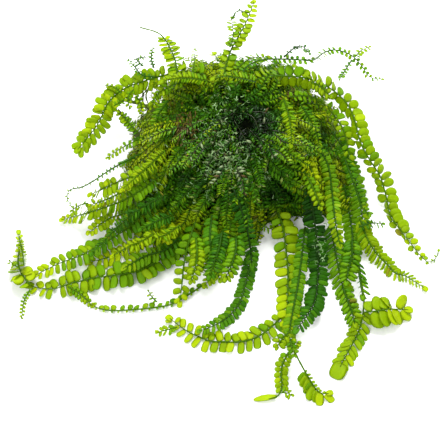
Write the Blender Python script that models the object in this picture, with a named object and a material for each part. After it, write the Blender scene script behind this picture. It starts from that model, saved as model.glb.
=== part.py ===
"""Cameroon moss on driftwood: a clump for an aquarium, laid on a table.

A small piece of root wood stands on its sawn underside. A felt of short shoots covers it, and long flat fronds
arch from the felt and trail over the table. Sizes are in millimetres, and MM turns them into metres.
The origin is the middle of the wood's underside, +X is the right and +Y the back.
"""

import math
from dataclasses import dataclass

import bmesh
import bpy
import numpy as np

MM = 0.001
TOUCH_GAP = 0.3  # between pieces that touch

# The front view: the fronds' routes are given as they show in it
VIEW_RISE = math.radians(60)
VIEW_AWAY = 550.0
VIEW_CENTRE = np.array([-3.0, -18.4, 0.0])  # the spot on the table in the middle of the view

# Driftwood trunk: a knotted lump, flat below
TRUNK_HALF = np.array([21.0, 15.5, 15.0])
TRUNK_MIDDLE = np.array([0.0, 0.0, 3.5])
TRUNK_ROUNDS = 4
RIDGE = 0.075  # depth of the wood's ridges, as a share of its size

# Moss mat over the wood: its height in the middle and its reach every 30 degrees, counter-clockwise from +X
MAT_TOP = 25.5
MAT_REACH = (28.0, 27.0, 26.5, 27.0, 26.5, 25.0, 26.0, 31.0, 29.0, 25.0, 20.5, 28.0)
MAT_SWELL = 1.7  # a higher value gives fuller shoulders
MAT_FALL = 0.85
MAT_LUMP = 1.0
MAT_TUFT = 1.1  # height of the tufts, at every second corner of the mesh
MAT_FRINGE = 0.04  # and how far they stand out at the rim, as a share of the reach
MAT_SEGMENTS = 38
MAT_RINGS = 20
RIM_SLOPE = 0.11  # how the mat's lower rim rises to the back
RIM_MIDDLE = 3.6

# Fronds
HALF_THICK = 0.45
NOTCH = 0.7  # width between two leaf pairs, as a share of the width at a pair
STEM_START = 0.3  # width at the root, as a share of the full width
SAMPLE = 0.5  # spacing of the points that a frond is laid by
STEEPEST = 1.05  # fall for each millimetre forward, in a frond that hangs over an edge
HIGHEST = 40.0  # above everything, where laying starts
LOWER_STEP = 0.2
SMOOTH_REACH = 2.0
ACROSS = np.linspace(-1.0, 1.0, 9)

# The heap: how high everything lies so far, on a grid seen from above
HEAP_CELL = 0.5
HEAP_LOW = np.array([-75.0, -90.0])
HEAP_CELLS = (300, 320)


@dataclass(frozen=True)
class Shoot:
    """A frond or a wiry shoot: its route is (across, up, height) from root to tip in the front view.

    across and up are measured from the middle of the view, and height is the least height above the table.
    A shoot is laid on what is already there, so a height of 0 means as low as it can lie. Where the front view
    doesn't reach, the route is (x, y, height) instead.
    """

    name: str
    tone: str
    half_width: float
    pairs: int
    route: tuple
    in_view: bool = True

    def place(self, across, up, height):
        if self.in_view:
            return from_view(across, up, height)
        return np.column_stack([across, up, height])


# In the order in which they are laid, the lowest first
SHOOTS = (
    # down the back of the mat, out of sight in the front view
    Shoot("back_left_low_frond", "mid", 2.4, 9, (
        (-8.0, 10.5, 0), (-12.0, 15.0, 0), (-14.5, 18.5, 0), (-16.0, 21.5, 0)), in_view=False),
    Shoot("back_low_frond", "bright", 2.4, 9, (
        (-0.5, 12.5, 0), (-2.5, 17.0, 0), (-4.5, 21.5, 0), (-5.5, 25.0, 0)), in_view=False),
    Shoot("back_right_low_frond", "mid", 2.4, 9, (
        (8.0, 12.0, 0), (11.0, 16.5, 0), (13.5, 19.5, 0), (15.5, 21.5, 0)), in_view=False),
    # left, on the table
    Shoot("left_hook_frond", "bright", 1.5, 13, (
        (-4.6, -15.1, 0), (-10.9, -19.1, 0), (-14.6, -20.6, 0), (-23.4, -21.6, 0), (-29.6, -21.6, 0),
        (-33.9, -19.9, 0), (-37.7, -17.1, 0))),
    Shoot("left_under_frond", "bright", 2.5, 7, (
        (-15.9, 1.4, 0), (-19.4, -2.1, 0), (-23.4, -5.9, 0), (-27.9, -8.1, 0), (-34.5, -10.0, 0))),
    Shoot("left_low_frond", "bright", 3.8, 13, (
        (-9.6, -2.9, 0), (-14.6, -7.9, 0), (-18.4, -10.6, 0), (-23.4, -12.4, 0), (-30.9, -13.4, 0),
        (-34.6, -14.1, 0), (-38.4, -15.1, 0), (-43.4, -16.4, 0), (-49.6, -15.3, 0))),
    Shoot("speckled_frond", "mid", 2.2, 6, (
        (-10.9, -3.4, 0), (-14.6, -6.6, 0), (-19.6, -8.2, 0), (-25.5, -11.5, 0))),
    Shoot("left_long_frond", "mid", 2.9, 14, (
        (-14.4, 7.4, 0), (-18.4, 4.1, 0), (-23.9, -1.1, 0), (-30.9, -5.4, 0), (-35.9, -8.1, 0),
        (-40.9, -9.9, 0), (-47.9, -13.3, 0))),
    Shoot("left_tip_frond", "bright", 3.2, 6, (
        (-48.4, -15.3, 0), (-50.4, -12.6, 0), (-51.4, -9.6, 0), (-50.9, -5.6, 0), (-51.3, -1.6, 0))),
    Shoot("left_tip_thread", "mid", 0.8, 4, (
        (-48.4, -16.5, 0), (-49.9, -19.6, 0), (-50.5, -23.8, 0))),
    Shoot("left_middle_lower_frond", "mid", 1.9, 6, (
        (-19.9, 5.6, 0), (-24.6, 2.6, 0), (-28.9, 1.1, 0), (-34.2, -2.7, 0))),
    Shoot("left_middle_frond", "mid", 1.9, 9, (
        (-17.1, 10.9, 0), (-22.1, 7.4, 0), (-25.9, 5.4, 0), (-30.9, 3.6, 0), (-35.9, 2.1, 0), (-41.0, 0.8, 0))),
    Shoot("left_middle_upper_frond", "bright", 2.2, 7, (
        (-16.9, 14.6, 0), (-22.1, 12.1, 0), (-27.1, 10.1, 0), (-34.0, 6.9, 0))),
    Shoot("left_wiry_shoot", "dark", 0.7, 9, (
        (-20.9, 17.4, 4), (-23.9, 15.9, 6), (-28.4, 13.4, 7), (-32.1, 10.9, 7), (-35.4, 9.1, 6),
        (-38.4, 8.4, 5), (-39.1, 6.4, 4), (-37.9, 4.1, 3))),
    Shoot("left_short_sprig", "mid", 1.2, 5, (
        (-19.4, 22.1, 0), (-22.1, 20.6, 7), (-25.9, 18.6, 7), (-29.4, 16.2, 6.5))),
    # bottom, on the table
    Shoot("bottom_sweep_frond", "bright", 3.0, 13, (
        (15.1, -22.9, 0), (11.1, -26.6, 0), (7.9, -28.6, 0), (4.1, -29.6, 0), (0.4, -29.6, 0),
        (-3.4, -29.4, 0), (-5.9, -28.4, 0), (-9.6, -26.6, 0), (-14.2, -23.1, 0))),
    Shoot("bottom_tip_sprig", "bright", 1.4, 4, (
        (-11.6, -25.9, 0), (-14.1, -26.6, 0), (-17.0, -27.3, 0))),
    Shoot("bottom_feeder_frond", "dark", 2.0, 11, (
        (7.4, -6.1, 0), (6.6, -10.4, 0), (5.4, -15.4, 0), (4.1, -19.6, 0), (1.6, -22.9, 0), (-2.1, -25.4, 0),
        (-6.5, -27.0, 0))),
    Shoot("centre_left_frond", "bright", 2.5, 9, (
        (-7.1, 0.4, 0), (-8.9, -5.4, 0), (-9.9, -10.4, 0), (-10.4, -15.4, 0), (-11.0, -20.8, 0))),
    Shoot("centre_middle_frond", "mid", 2.4, 9, (
        (1.9, 1.1, 0), (1.1, -4.1, 0), (-0.9, -9.6, 0), (-5.0, -16.1, 0))),
    Shoot("centre_short_frond", "mid", 2.4, 7, (
        (-2.9, 2.1, 0), (-3.4, -4.1, 0), (-2.4, -9.6, 0), (-0.7, -14.7, 0))),
    Shoot("centre_drape_frond", "dark", 2.2, 8, (
        (2.6, 8.4, 0), (4.9, 1.9, 0), (6.4, -4.1, 0), (7.2, -11.2, 0))),
    Shoot("cross_sprig", "bright", 1.3, 4, (
        (9.4, -0.4, 0), (12.1, -1.4, 0), (15.3, -1.0, 0))),
    # bottom right
    Shoot("right_low_column_frond", "dark", 2.3, 8, (
        (30.1, 9.6, 0), (31.6, 1.9, 0), (32.4, -4.6, 0), (33.0, -11.5, 0))),
    Shoot("right_low_stem_frond", "dark", 2.7, 9, (
        (26.6, 0.4, 0), (27.9, -6.6, 0), (29.1, -12.9, 0), (30.6, -17.9, 0), (33.4, -22.7, 0))),
    Shoot("right_tail_frond", "bright", 3.0, 13, (
        (33.8, -9.6, 0), (34.4, -14.1, 0), (35.1, -19.1, 0), (34.6, -24.1, 0), (33.4, -27.9, 0),
        (31.4, -31.6, 0), (29.9, -34.4, 0), (28.1, -38.1, 0))),
    Shoot("right_leafy_frond", "bright", 4.0, 6, (
        (35.6, -22.1, 0), (38.4, -21.9, 0), (41.4, -21.4, 0), (47.2, -21.6, 0))),
    Shoot("central_fall_frond", "bright", 3.5, 13, (
        (13.6, 2.9, 0), (14.9, -1.1, 0), (15.6, -6.6, 0), (16.1, -11.6, 0), (16.1, -19.1, 0), (16.1, -28.2, 0))),
    Shoot("central_stem_frond", "mid", 1.9, 12, (
        (20.4, -0.9, 0), (19.6, -7.9, 0), (18.6, -15.4, 0), (17.4, -21.6, 0), (16.6, -26.6, 0),
        (17.0, -31.9, 0))),
    Shoot("fork_left_frond", "bright", 1.9, 9, (
        (16.3, -32.2, 0), (14.8, -35.1, 0), (14.4, -38.1, 0), (14.6, -40.9, 0), (13.6, -43.1, 0),
        (11.1, -43.9, 0), (8.4, -43.7, 0))),
    Shoot("fork_right_frond", "bright", 2.7, 9, (
        (17.8, -32.2, 0), (19.6, -35.6, 0), (21.6, -39.1, 0), (23.5, -41.8, 0), (25.4, -42.7, 0),
        (27.2, -42.1, 0))),
    Shoot("dark_glossy_frond", "dark", 2.8, 14, (
        (21.1, 9.6, 0), (22.1, 4.6, 0), (22.9, -0.4, 0), (23.6, -6.6, 0), (23.6, -12.9, 0), (22.9, -19.1, 0),
        (20.6, -23.4, 0), (17.7, -27.3, 0))),
    # right
    Shoot("right_inner_frond", "mid", 1.9, 12, (
        (22.9, 20.1, 0), (26.1, 14.6, 0), (27.1, 7.9, 0), (27.9, 0.9, 0), (29.3, -6.2, 0))),
    Shoot("right_column_frond", "dark", 2.3, 12, (
        (27.1, 22.9, 0), (30.6, 17.9, 0), (32.6, 12.1, 0), (33.9, 7.1, 0), (34.6, 2.1, 0), (35.8, -4.5, 0))),
    Shoot("right_trailing_frond", "bright", 2.3, 12, (
        (34.1, 1.1, 0), (36.1, -4.1, 0), (38.6, -7.9, 0), (41.1, -10.4, 0), (42.9, -12.4, 0), (45.4, -13.1, 0),
        (47.9, -14.6, 0), (50.9, -16.6, 0))),
    Shoot("right_second_frond", "bright", 2.3, 10, (
        (16.6, 31.6, 0), (20.6, 31.9, 12), (24.4, 30.4, 11), (27.6, 27.1, 10), (29.6, 24.1, 9),
        (30.9, 20.1, 7), (31.7, 13.5, 5))),
    Shoot("right_arch_frond", "bright", 2.8, 23, (
        (6.6, 35.4, 0), (9.6, 36.4, 17), (14.1, 36.9, 16), (19.1, 36.6, 15), (23.6, 35.4, 14),
        (27.9, 32.9, 13), (30.9, 29.9, 12), (32.6, 26.4, 10), (33.9, 21.4, 8), (35.1, 18.4, 7),
        (36.9, 15.4, 5), (39.1, 11.9, 4), (40.6, 7.1, 2), (41.6, 2.1, 0), (43.4, -0.6, 0), (47.1, -5.4, 0),
        (49.1, -7.9, 0), (51.1, -9.6, 0), (52.9, -8.9, 0), (53.9, -6.4, 0))),
    # left and top
    Shoot("left_arch_frond", "bright", 2.9, 14, (
        (-4.6, 37.1, 15), (-9.6, 38.1, 14), (-14.6, 37.1, 14), (-18.9, 35.9, 13), (-23.4, 34.4, 12),
        (-26.4, 32.6, 12), (-28.9, 30.1, 11), (-30.1, 27.6, 10), (-31.6, 24.6, 8), (-33.9, 21.6, 6),
        (-37.0, 17.8, 5))),
    Shoot("upper_left_frond", "bright", 2.2, 8, (
        (-10.6, 34.4, 0), (-11.6, 38.1, 20), (-12.1, 40.9, 21), (-13.4, 43.9, 21.5), (-14.9, 46.4, 21.5),
        (-16.9, 47.9, 21), (-20.8, 49.0, 20))),
    Shoot("top_frond", "bright", 1.9, 10, (
        (-0.4, 35.4, 0), (0.9, 40.4, 23), (2.1, 43.9, 24), (4.1, 47.4, 25), (5.9, 50.9, 25.5),
        (7.8, 55.9, 25.5))),
    Shoot("top_side_sprig", "bright", 1.3, 5, (
        (1.6, 44.1, 0), (2.4, 47.1, 25), (2.0, 51.8, 25))),
    Shoot("top_leafy_sprig", "bright", 1.6, 4, (
        (3.1, 38.4, 0), (5.6, 40.6, 20), (8.1, 41.6, 20), (11.8, 41.3, 19))),
    Shoot("upright_back_sprig", "bright", 0.9, 4, (
        (-7.6, 37.4, 0), (-7.3, 40.1, 21), (-7.1, 43.8, 22))),
    Shoot("back_left_sprig", "dark", 0.9, 4, (
        (-17.1, 36.6, 14), (-20.4, 37.1, 14), (-22.1, 39.1, 14), (-23.9, 41.1, 14))),
    Shoot("top_wiry_shoot", "mid", 1.2, 16, (
        (4.4, 36.9, 16), (5.9, 39.4, 14), (9.6, 40.9, 12), (15.4, 41.1, 11), (19.4, 40.9, 10),
        (22.6, 40.9, 10), (24.9, 42.6, 10), (27.6, 43.4, 10), (30.9, 42.6, 9), (33.1, 41.1, 8),
        (35.1, 38.6, 7), (36.6, 36.6, 6), (40.1, 36.0, 5))),
    Shoot("top_loop_shoot", "dark", 0.9, 5, (
        (15.1, 41.6, 0), (17.1, 43.4, 13), (19.6, 44.4, 13), (21.7, 42.1, 12))),
    Shoot("top_far_branch", "mid", 0.8, 4, (
        (32.1, 40.9, 0), (30.6, 38.6, 7), (28.9, 35.8, 6))),
    Shoot("top_far_leaf", "bright", 1.1, 3, (
        (33.1, 41.9, 0), (34.6, 43.4, 9), (36.9, 44.3, 9))),
)

# Limbs of the driftwood: points from the trunk to the tip, and the radius at each
LIMBS = {
    "driftwood_left_limb": (((-12, 5, 8), (-18, 8, 8.6), (-23.2, 10.6, 9.6), (-27.8, 11.4, 10.6), (-31.2, 11.8, 11.2)),
                            (2.2, 1.1, 0.6, 0.42, 0.32)),
    "driftwood_left_twig": (((-14, -1, 7.5), (-20, 0.4, 7.6), (-24.5, 2.3, 8.8), (-27.3, 5.6, 9.8), (-29.6, 8.6, 10.6)),
                            (2.1, 1.2, 0.75, 0.5, 0.32)),
    "driftwood_back_root": (((6, 9, 4), (10, 14, 4.6), (13, 18.5, 3.6), (16, 22.5, 2.4)),
                            (4.0, 3.0, 2.1, 1.3)),
}

TONES = {
    "bright": (0.33, 0.55, 0.02),
    "mid": (0.12, 0.32, 0.02),
    "dark": (0.03, 0.13, 0.015),
    "mat": (0.045, 0.12, 0.015),
    "wood": (0.045, 0.028, 0.017),
}


def material(tone):
    """The finish of a tone: damp leaves are glossier than wood."""
    name = "driftwood" if tone == "wood" else f"moss_{tone}"
    found = bpy.data.materials.get(name)
    if found:
        return found
    made = bpy.data.materials.new(name)
    made.use_nodes = True
    surface = made.node_tree.nodes["Principled BSDF"].inputs
    surface["Base Color"].default_value = (*TONES[tone], 1.0)
    surface["Roughness"].default_value = 0.75 if tone == "wood" else 0.4
    surface["Metallic"].default_value = 0.0
    return made


def new_object(name, mesh, collection, tone):
    """An object of a mesh in millimetres, scaled to metres."""
    mesh.transform(np.diag([MM, MM, MM, 1.0]))
    mesh.materials.clear()
    mesh.materials.append(material(tone))
    made = bpy.data.objects.new(name, mesh)
    collection.objects.link(made)
    return made


def mesh_from(bm, name):
    """A mesh of what was modelled, with its faces pointing out."""
    bmesh.ops.recalc_face_normals(bm, faces=bm.faces)
    mesh = bpy.data.meshes.new(name)
    bm.to_mesh(mesh)
    bm.free()
    return mesh


def from_view(across, up, height):
    """The point at a height above the table that shows at (across, up) from the middle of the front view."""
    toward = np.array([0.0, -math.cos(VIEW_RISE), math.sin(VIEW_RISE)])
    upward = np.array([0.0, math.sin(VIEW_RISE), math.cos(VIEW_RISE)])
    eye = VIEW_CENTRE + VIEW_AWAY * toward
    flat = VIEW_CENTRE + across[:, None] * np.array([1.0, 0.0, 0.0]) + up[:, None] * upward
    share = (eye[2] - height) / (eye[2] - flat[:, 2])
    return eye + share[:, None] * (flat - eye)


def around(values, angle):
    """A smooth value at an angle, from values at even steps round the circle."""
    values = np.asarray(values)
    count = len(values)
    place = np.mod(angle / (2 * math.pi) * count, count)
    first = np.floor(place).astype(int)
    t = place - first
    a, b, c, d = (values[(first + k) % count] for k in (-1, 0, 1, 2))
    return b + 0.5 * t * ((c - a) + t * ((2 * a - 5 * b + 4 * c - d) + t * (3 * b - 3 * c + d - a)))


def mat_height(x, y):
    """How high the mat's top lies at a place, and below 0 outside its rim."""
    share = np.hypot(x, y) / around(MAT_REACH, np.arctan2(y, x))
    inside = np.clip(1 - share**MAT_SWELL, 0, 1)
    lumps = np.sin(0.30 * x + 1.3) * np.sin(0.27 * y + 0.4) + 0.7 * np.sin(0.42 * x - 0.22 * y + 2.0)
    return np.where(share < 1, MAT_TOP * inside**MAT_FALL + MAT_LUMP * lumps * (1 - share**4), -1.0)


def trunk_shape(bm, swollen=0.0):
    """The knotted trunk, or its form grown by a clearance."""
    bmesh.ops.create_icosphere(bm, subdivisions=TRUNK_ROUNDS, radius=1.0)
    for vert in bm.verts:
        x, y, z = vert.co
        along = math.sin(9 * y + 2.2 * math.sin(2 * x)) + 0.7 * math.sin(13 * z + 3 * y + 1.6 * x)
        knots = math.sin(3.1 * x + 0.6) * math.cos(2.7 * y - 0.4) + 0.6 * math.sin(4.2 * x - 2.3 * y)
        grown = 1 + RIDGE * (0.4 * along + knots)
        for axis in range(3):
            size = TRUNK_HALF[axis] * grown + swollen
            vert.co[axis] = TRUNK_MIDDLE[axis] + size * vert.co[axis]


def cut_flat(bm, point, normal):
    """Takes away what lies on the normal's side of a plane, and closes the cut."""
    every = list(bm.verts) + list(bm.edges) + list(bm.faces)
    cut = bmesh.ops.bisect_plane(bm, geom=every, plane_co=point, plane_no=normal, clear_outer=True)
    edges = [part for part in cut["geom_cut"] if isinstance(part, bmesh.types.BMEdge)]
    bmesh.ops.contextual_create(bm, geom=edges)


def build_trunk(parts, cutters):
    """The trunk with its sawn flat underside, and the clearance that the pieces round it are cut by."""
    bm = bmesh.new()
    trunk_shape(bm)
    cut_flat(bm, (0, 0, 0), (0, 0, -1))
    new_object("driftwood_trunk", mesh_from(bm, "driftwood_trunk"), parts, "wood")
    bm = bmesh.new()
    trunk_shape(bm, swollen=1.4 * TOUCH_GAP)
    return new_object("trunk_clearance", mesh_from(bm, "trunk_clearance"), cutters, "wood")


def limb_mesh(name, points, radii, swollen=0.0):
    """A tapering round limb through some points, as a closed mesh."""
    curve = bpy.data.curves.new(name, "CURVE")
    curve.dimensions = "3D"
    curve.bevel_depth = 1.0
    curve.bevel_resolution = 2
    curve.use_fill_caps = True
    path = spline(np.array(points, float), 2.4)
    count = len(path)
    thick = np.interp(np.linspace(0, 1, count), np.linspace(0, 1, len(radii)), radii) + swollen
    knots = 1 + 0.1 * np.sin(np.arange(count) * 1.9)
    run = curve.splines.new("POLY")
    run.points.add(count - 1)
    run.points.foreach_set("co", np.column_stack([path, np.ones(count)]).ravel())
    run.points.foreach_set("radius", thick * knots)
    guide = bpy.data.objects.new(name, curve)
    bpy.context.scene.collection.objects.link(guide)
    graph = bpy.context.evaluated_depsgraph_get()
    mesh = bpy.data.meshes.new_from_object(guide.evaluated_get(graph))
    bpy.data.objects.remove(guide)
    bm = bmesh.new()
    bm.from_mesh(mesh)
    bmesh.ops.remove_doubles(bm, verts=bm.verts, dist=1e-3)
    bpy.data.meshes.remove(mesh)
    return mesh_from(bm, name)


def cut_by(piece, *clearances):
    """Cuts a piece back from the clearances of its neighbours."""
    for clearance in clearances:
        cut = piece.modifiers.new(clearance.name, "BOOLEAN")
        cut.operation = "DIFFERENCE"
        cut.solver = "EXACT"
        cut.object = clearance


def build_limbs(parts, cutters, trunk_clearance):
    """The limbs, cut back from the trunk, and their own clearances for the mat."""
    clearances = []
    for name, (points, radii) in LIMBS.items():
        limb = new_object(name, limb_mesh(name, points, radii), parts, "wood")
        cut_by(limb, trunk_clearance)
        around_it = name.replace("driftwood_", "") + "_clearance"
        grown = limb_mesh(around_it, points, radii, swollen=1.3 * TOUCH_GAP)
        clearances.append(new_object(around_it, grown, cutters, "wood"))
    return clearances


def build_mat(parts, clearances):
    """The moss mat: a lumpy dome whose rim rises to the back, hollowed by the wood's clearance."""
    bm = bmesh.new()
    bmesh.ops.create_uvsphere(bm, u_segments=MAT_SEGMENTS, v_segments=MAT_RINGS, radius=1.0)
    for vert in bm.verts:
        share = math.hypot(vert.co.x, vert.co.y)
        turn = round(math.atan2(vert.co.y, vert.co.x) / (2 * math.pi) * MAT_SEGMENTS)
        ring = round(math.acos(max(-1.0, min(1.0, vert.co.z))) / math.pi * MAT_RINGS)
        tuft = (turn + ring) % 2
        reach = float(around(MAT_REACH, np.array([math.atan2(vert.co.y, vert.co.x)]))[0])
        x, y = vert.co.x * reach, vert.co.y * reach
        top = float(mat_height(np.array([x * 0.9999]), np.array([y * 0.9999]))[0]) + MAT_TUFT * tuft
        outward = 1 + MAT_FRINGE * tuft * share**2
        vert.co = (x * outward, y * outward, top if vert.co.z > -1e-6 else -3.0 * (1 - share**2) - 0.01)
    cut_flat(bm, (0, 0, RIM_MIDDLE), (0, RIM_SLOPE, -1))
    mat = new_object("moss_mat", mesh_from(bm, "moss_mat"), parts, "mat")
    cut_by(mat, *clearances)


def spline(points, spacing):
    """Points at an even spacing along a smooth curve through a route's own points."""
    ends = np.vstack([2 * points[0] - points[1], points, 2 * points[-1] - points[-2]])
    t = np.linspace(0, 1, 24, endpoint=False)[:, None]
    runs = []
    for a, b, c, d in zip(ends, ends[1:], ends[2:], ends[3:]):
        runs.append(b + 0.5 * t * ((c - a) + t * ((2 * a - 5 * b + 4 * c - d) + t * (3 * b - 3 * c + d - a))))
    path = np.vstack([*runs, points[-1:]])
    gone = np.concatenate([[0], np.cumsum(np.linalg.norm(np.diff(path, axis=0), axis=1))])
    even = np.linspace(0, gone[-1], max(3, int(round(gone[-1] / spacing)) + 1))
    return np.column_stack([np.interp(even, gone, path[:, axis]) for axis in range(path.shape[1])])


class Heap:
    """How high everything lies so far, on a grid seen from above."""

    def __init__(self):
        x = HEAP_LOW[0] + HEAP_CELL * np.arange(HEAP_CELLS[0])
        y = HEAP_LOW[1] + HEAP_CELL * np.arange(HEAP_CELLS[1])
        mat = mat_height(*np.meshgrid(x, y, indexing="ij"))
        self.top = np.where(mat > 0, mat + MAT_TUFT, 0.0)
        self.spread()

    def cell(self, places):
        """The grid's cell of each place."""
        index = np.rint((places - HEAP_LOW) / HEAP_CELL).astype(int)
        return np.clip(index[..., 0], 1, HEAP_CELLS[0] - 2), np.clip(index[..., 1], 1, HEAP_CELLS[1] - 2)

    def height(self, places):
        """The highest that anything lies within one cell of each place."""
        return self.near[self.cell(places)]

    def add(self, places, heights):
        """Lays something over the places, up to the heights."""
        np.maximum.at(self.top, self.cell(places), heights)
        self.spread()

    def spread(self):
        """Works out the highest within one cell of each cell."""
        self.near = self.top.copy()
        inner = self.near[1:-1, 1:-1]
        for i in range(3):
            for j in range(3):
                shifted = self.top[i : i + HEAP_CELLS[0] - 2, j : j + HEAP_CELLS[1] - 2]
                np.maximum(inner, shifted, out=inner)


def sideways(points):
    """The level direction across a route at each of its points."""
    ahead = np.gradient(points, axis=0)
    side = np.column_stack([ahead[:, 1], -ahead[:, 0]])
    return side / np.linalg.norm(side, axis=1)[:, None]


def width_along(t):
    """A frond's width at a share of its length, as a share of its full width."""
    opening = STEM_START + (1 - STEM_START) * np.clip(t / 0.25, 0, 1)
    closing = np.sqrt(np.clip((1 - t) / 0.3, 0, 1))
    return opening * closing


def footprint(shoot, points):
    """Places across a frond at each of its points."""
    reach = shoot.half_width * np.maximum(width_along(np.linspace(0, 1, len(points))), 0.25)
    return points[:, None, :2] + sideways(points)[:, None, :] * (reach[:, None] * ACROSS)[..., None]


def needed(shoot, heap, points):
    """How high a frond's stem has to be at each of its points to lie on the heap."""
    return heap.height(footprint(shoot, points)).max(axis=1) + HALF_THICK + TOUCH_GAP


def lay(shoot, heap):
    """The points of a frond lowered onto the heap, no lower than its route's heights and nowhere too steep."""
    across, up, least = spline(np.array(shoot.route, float), SAMPLE).T
    least = np.maximum(least, HALF_THICK + TOUCH_GAP)
    height = np.full(len(least), HIGHEST)
    free = np.ones(len(least), bool)
    while free.any():
        lower = np.where(free, height - LOWER_STEP, height)
        need = needed(shoot, heap, shoot.place(across, up, lower))
        free &= (lower >= need) & (lower >= least)
        height = np.where(free, lower, height)
    for _ in range(3):
        points = shoot.place(across, up, height)
        gone = np.concatenate([[0], np.cumsum(np.linalg.norm(np.diff(points[:, :2], axis=0), axis=1))])
        apart = np.abs(gone[:, None] - gone[None, :])
        height = np.maximum(height, needed(shoot, heap, points))
        height = (height[None, :] - STEEPEST * apart).max(axis=1)
        near = np.exp(-0.5 * (apart / SMOOTH_REACH) ** 2)
        height = np.maximum(height, (near @ height) / near.sum(axis=1))
    points = shoot.place(across, up, height)
    feet = footprint(shoot, points)
    heap.add(feet, np.broadcast_to(points[:, 2:] + HALF_THICK, feet.shape[:2]))
    return points


def frond_mesh(shoot, points):
    """A flat frond with a notch between each two leaf pairs: thick along its stem and thin at its edges."""
    even = np.linspace(0, 1, len(points))
    pairs = np.arange(shoot.pairs)
    stations = np.sort(np.concatenate([[0], (pairs + 0.6) / shoot.pairs, (pairs[1:] + 0.05) / shoot.pairs]))
    at_pair = np.isin(stations, (pairs + 0.6) / shoot.pairs)
    middle = np.column_stack([np.interp(stations, even, points[:, axis]) for axis in range(3)])
    side2 = sideways(points)
    side = np.column_stack([np.interp(stations, even, side2[:, axis]) for axis in range(2)] + [np.zeros(len(stations))])
    side /= np.linalg.norm(side, axis=1)[:, None]
    ahead = np.gradient(middle, axis=0)
    above = np.cross(side, ahead)
    above /= np.linalg.norm(above, axis=1)[:, None]
    reach = shoot.half_width * np.maximum(width_along(stations), 0.2) * np.where(at_pair, 1.0, NOTCH)
    bm = bmesh.new()
    rings = []
    for centre, across, over, half in zip(middle, side, above, reach):
        ring = (centre - half * across, centre + HALF_THICK * over, centre + half * across, centre - HALF_THICK * over)
        rings.append([bm.verts.new(corner) for corner in ring])
    for ring, following in zip(rings, rings[1:]):
        for k in range(4):
            bm.faces.new((ring[k], ring[(k + 1) % 4], following[(k + 1) % 4], following[k]))
    bm.faces.new(rings[0])
    tip = bm.verts.new(points[-1])
    for k in range(4):
        bm.faces.new((rings[-1][k], rings[-1][(k + 1) % 4], tip))
    return mesh_from(bm, shoot.name)


def build_fronds(parts):
    """Every frond and wiry shoot, each laid over those before it."""
    heap = Heap()
    for points, radii in LIMBS.values():
        path = spline(np.array(points, float), SAMPLE)
        thick = np.interp(np.linspace(0, 1, len(path)), np.linspace(0, 1, len(radii)), radii) * 1.15
        places = path[:, None, :2] + sideways(path)[:, None, :] * (thick[:, None] * ACROSS)[..., None]
        heap.add(places, np.broadcast_to(path[:, 2:] + thick[:, None], places.shape[:2]))
    for shoot in SHOOTS:
        points = lay(shoot, heap)
        new_object(shoot.name, frond_mesh(shoot, points), parts, shoot.tone)


def new_collection(name):
    made = bpy.data.collections.new(name)
    bpy.context.scene.collection.children.link(made)
    return made


def main():
    for old in list(bpy.data.objects):
        bpy.data.objects.remove(old)
    parts = new_collection("cameroon_moss_on_driftwood")
    cutters = new_collection("cutters")
    trunk_clearance = build_trunk(parts, cutters)
    limb_clearances = build_limbs(parts, cutters, trunk_clearance)
    build_mat(parts, [trunk_clearance, *limb_clearances])
    build_fronds(parts)
    for cutter in cutters.objects:
        cutter.hide_render = True
        cutter.display_type = "WIRE"


main()
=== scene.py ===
"""Cameroon moss on driftwood, dressed: a liverwort's leafy shoots on a piece of root wood.

Sizes are in millimetres until a mesh is made. The origin is the middle of the wood's underside, +X is the
right and +Y the back. The shoots lie where the CAD has them, because the same rule lays them on the same
heap.
"""

import logging
import math
from dataclasses import dataclass, field, replace
from enum import Enum

import bpy
import numpy as np
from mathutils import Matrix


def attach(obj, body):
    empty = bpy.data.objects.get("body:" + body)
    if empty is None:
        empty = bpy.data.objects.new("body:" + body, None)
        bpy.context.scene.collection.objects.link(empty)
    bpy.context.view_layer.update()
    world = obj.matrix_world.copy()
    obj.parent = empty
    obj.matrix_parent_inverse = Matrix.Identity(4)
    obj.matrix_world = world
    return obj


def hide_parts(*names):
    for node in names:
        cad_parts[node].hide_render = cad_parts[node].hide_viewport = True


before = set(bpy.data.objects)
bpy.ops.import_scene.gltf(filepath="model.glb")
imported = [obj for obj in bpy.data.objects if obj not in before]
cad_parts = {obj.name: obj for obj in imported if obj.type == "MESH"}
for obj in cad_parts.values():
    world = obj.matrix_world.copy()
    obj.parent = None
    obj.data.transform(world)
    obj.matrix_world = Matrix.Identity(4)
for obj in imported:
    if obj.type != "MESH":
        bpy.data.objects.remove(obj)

log = logging.getLogger("cameroon_moss")
Array = np.ndarray
Colour = tuple[float, float, float]

MM = 0.001
TOUCH_GAP = 0.3  # between pieces that touch
CLEAR_OF_TABLE = 0.05
LOW_KNEE = 0.4
TOP_KNEE = 26.9
TOP_LIMIT = 27.9

# The front view, which the shoots' routes are given in
VIEW_RISE = math.radians(60)
VIEW_AWAY = 550.0
VIEW_CENTRE = np.array([-3.0, -18.4, 0.0])
VIEW_TOWARD = np.array([0.0, -math.cos(VIEW_RISE), math.sin(VIEW_RISE)])
VIEW_UPWARD = np.array([0.0, math.sin(VIEW_RISE), math.cos(VIEW_RISE)])
VIEW_WIDTH = 111.75
FILM_WIDTH = 36.0
PIXELS_A_MM = 4
PIXEL_MIDDLE = 223.5

# Trunk and moss mat
TRUNK_HALF = np.array([21.0, 15.5, 15.0])
TRUNK_MIDDLE = np.array([0.0, 0.0, 3.5])
MAT_TOP = 25.5
MAT_REACH = (28.0, 27.0, 26.5, 27.0, 26.5, 25.0, 26.0, 31.0, 29.0, 25.0, 20.5, 28.0)
MAT_SWELL = 1.7
MAT_FALL = 0.85
MAT_LUMP = 1.0
MAT_TUFT = 1.1
RIM_SLOPE = 0.11
RIM_MIDDLE = 3.6

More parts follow.
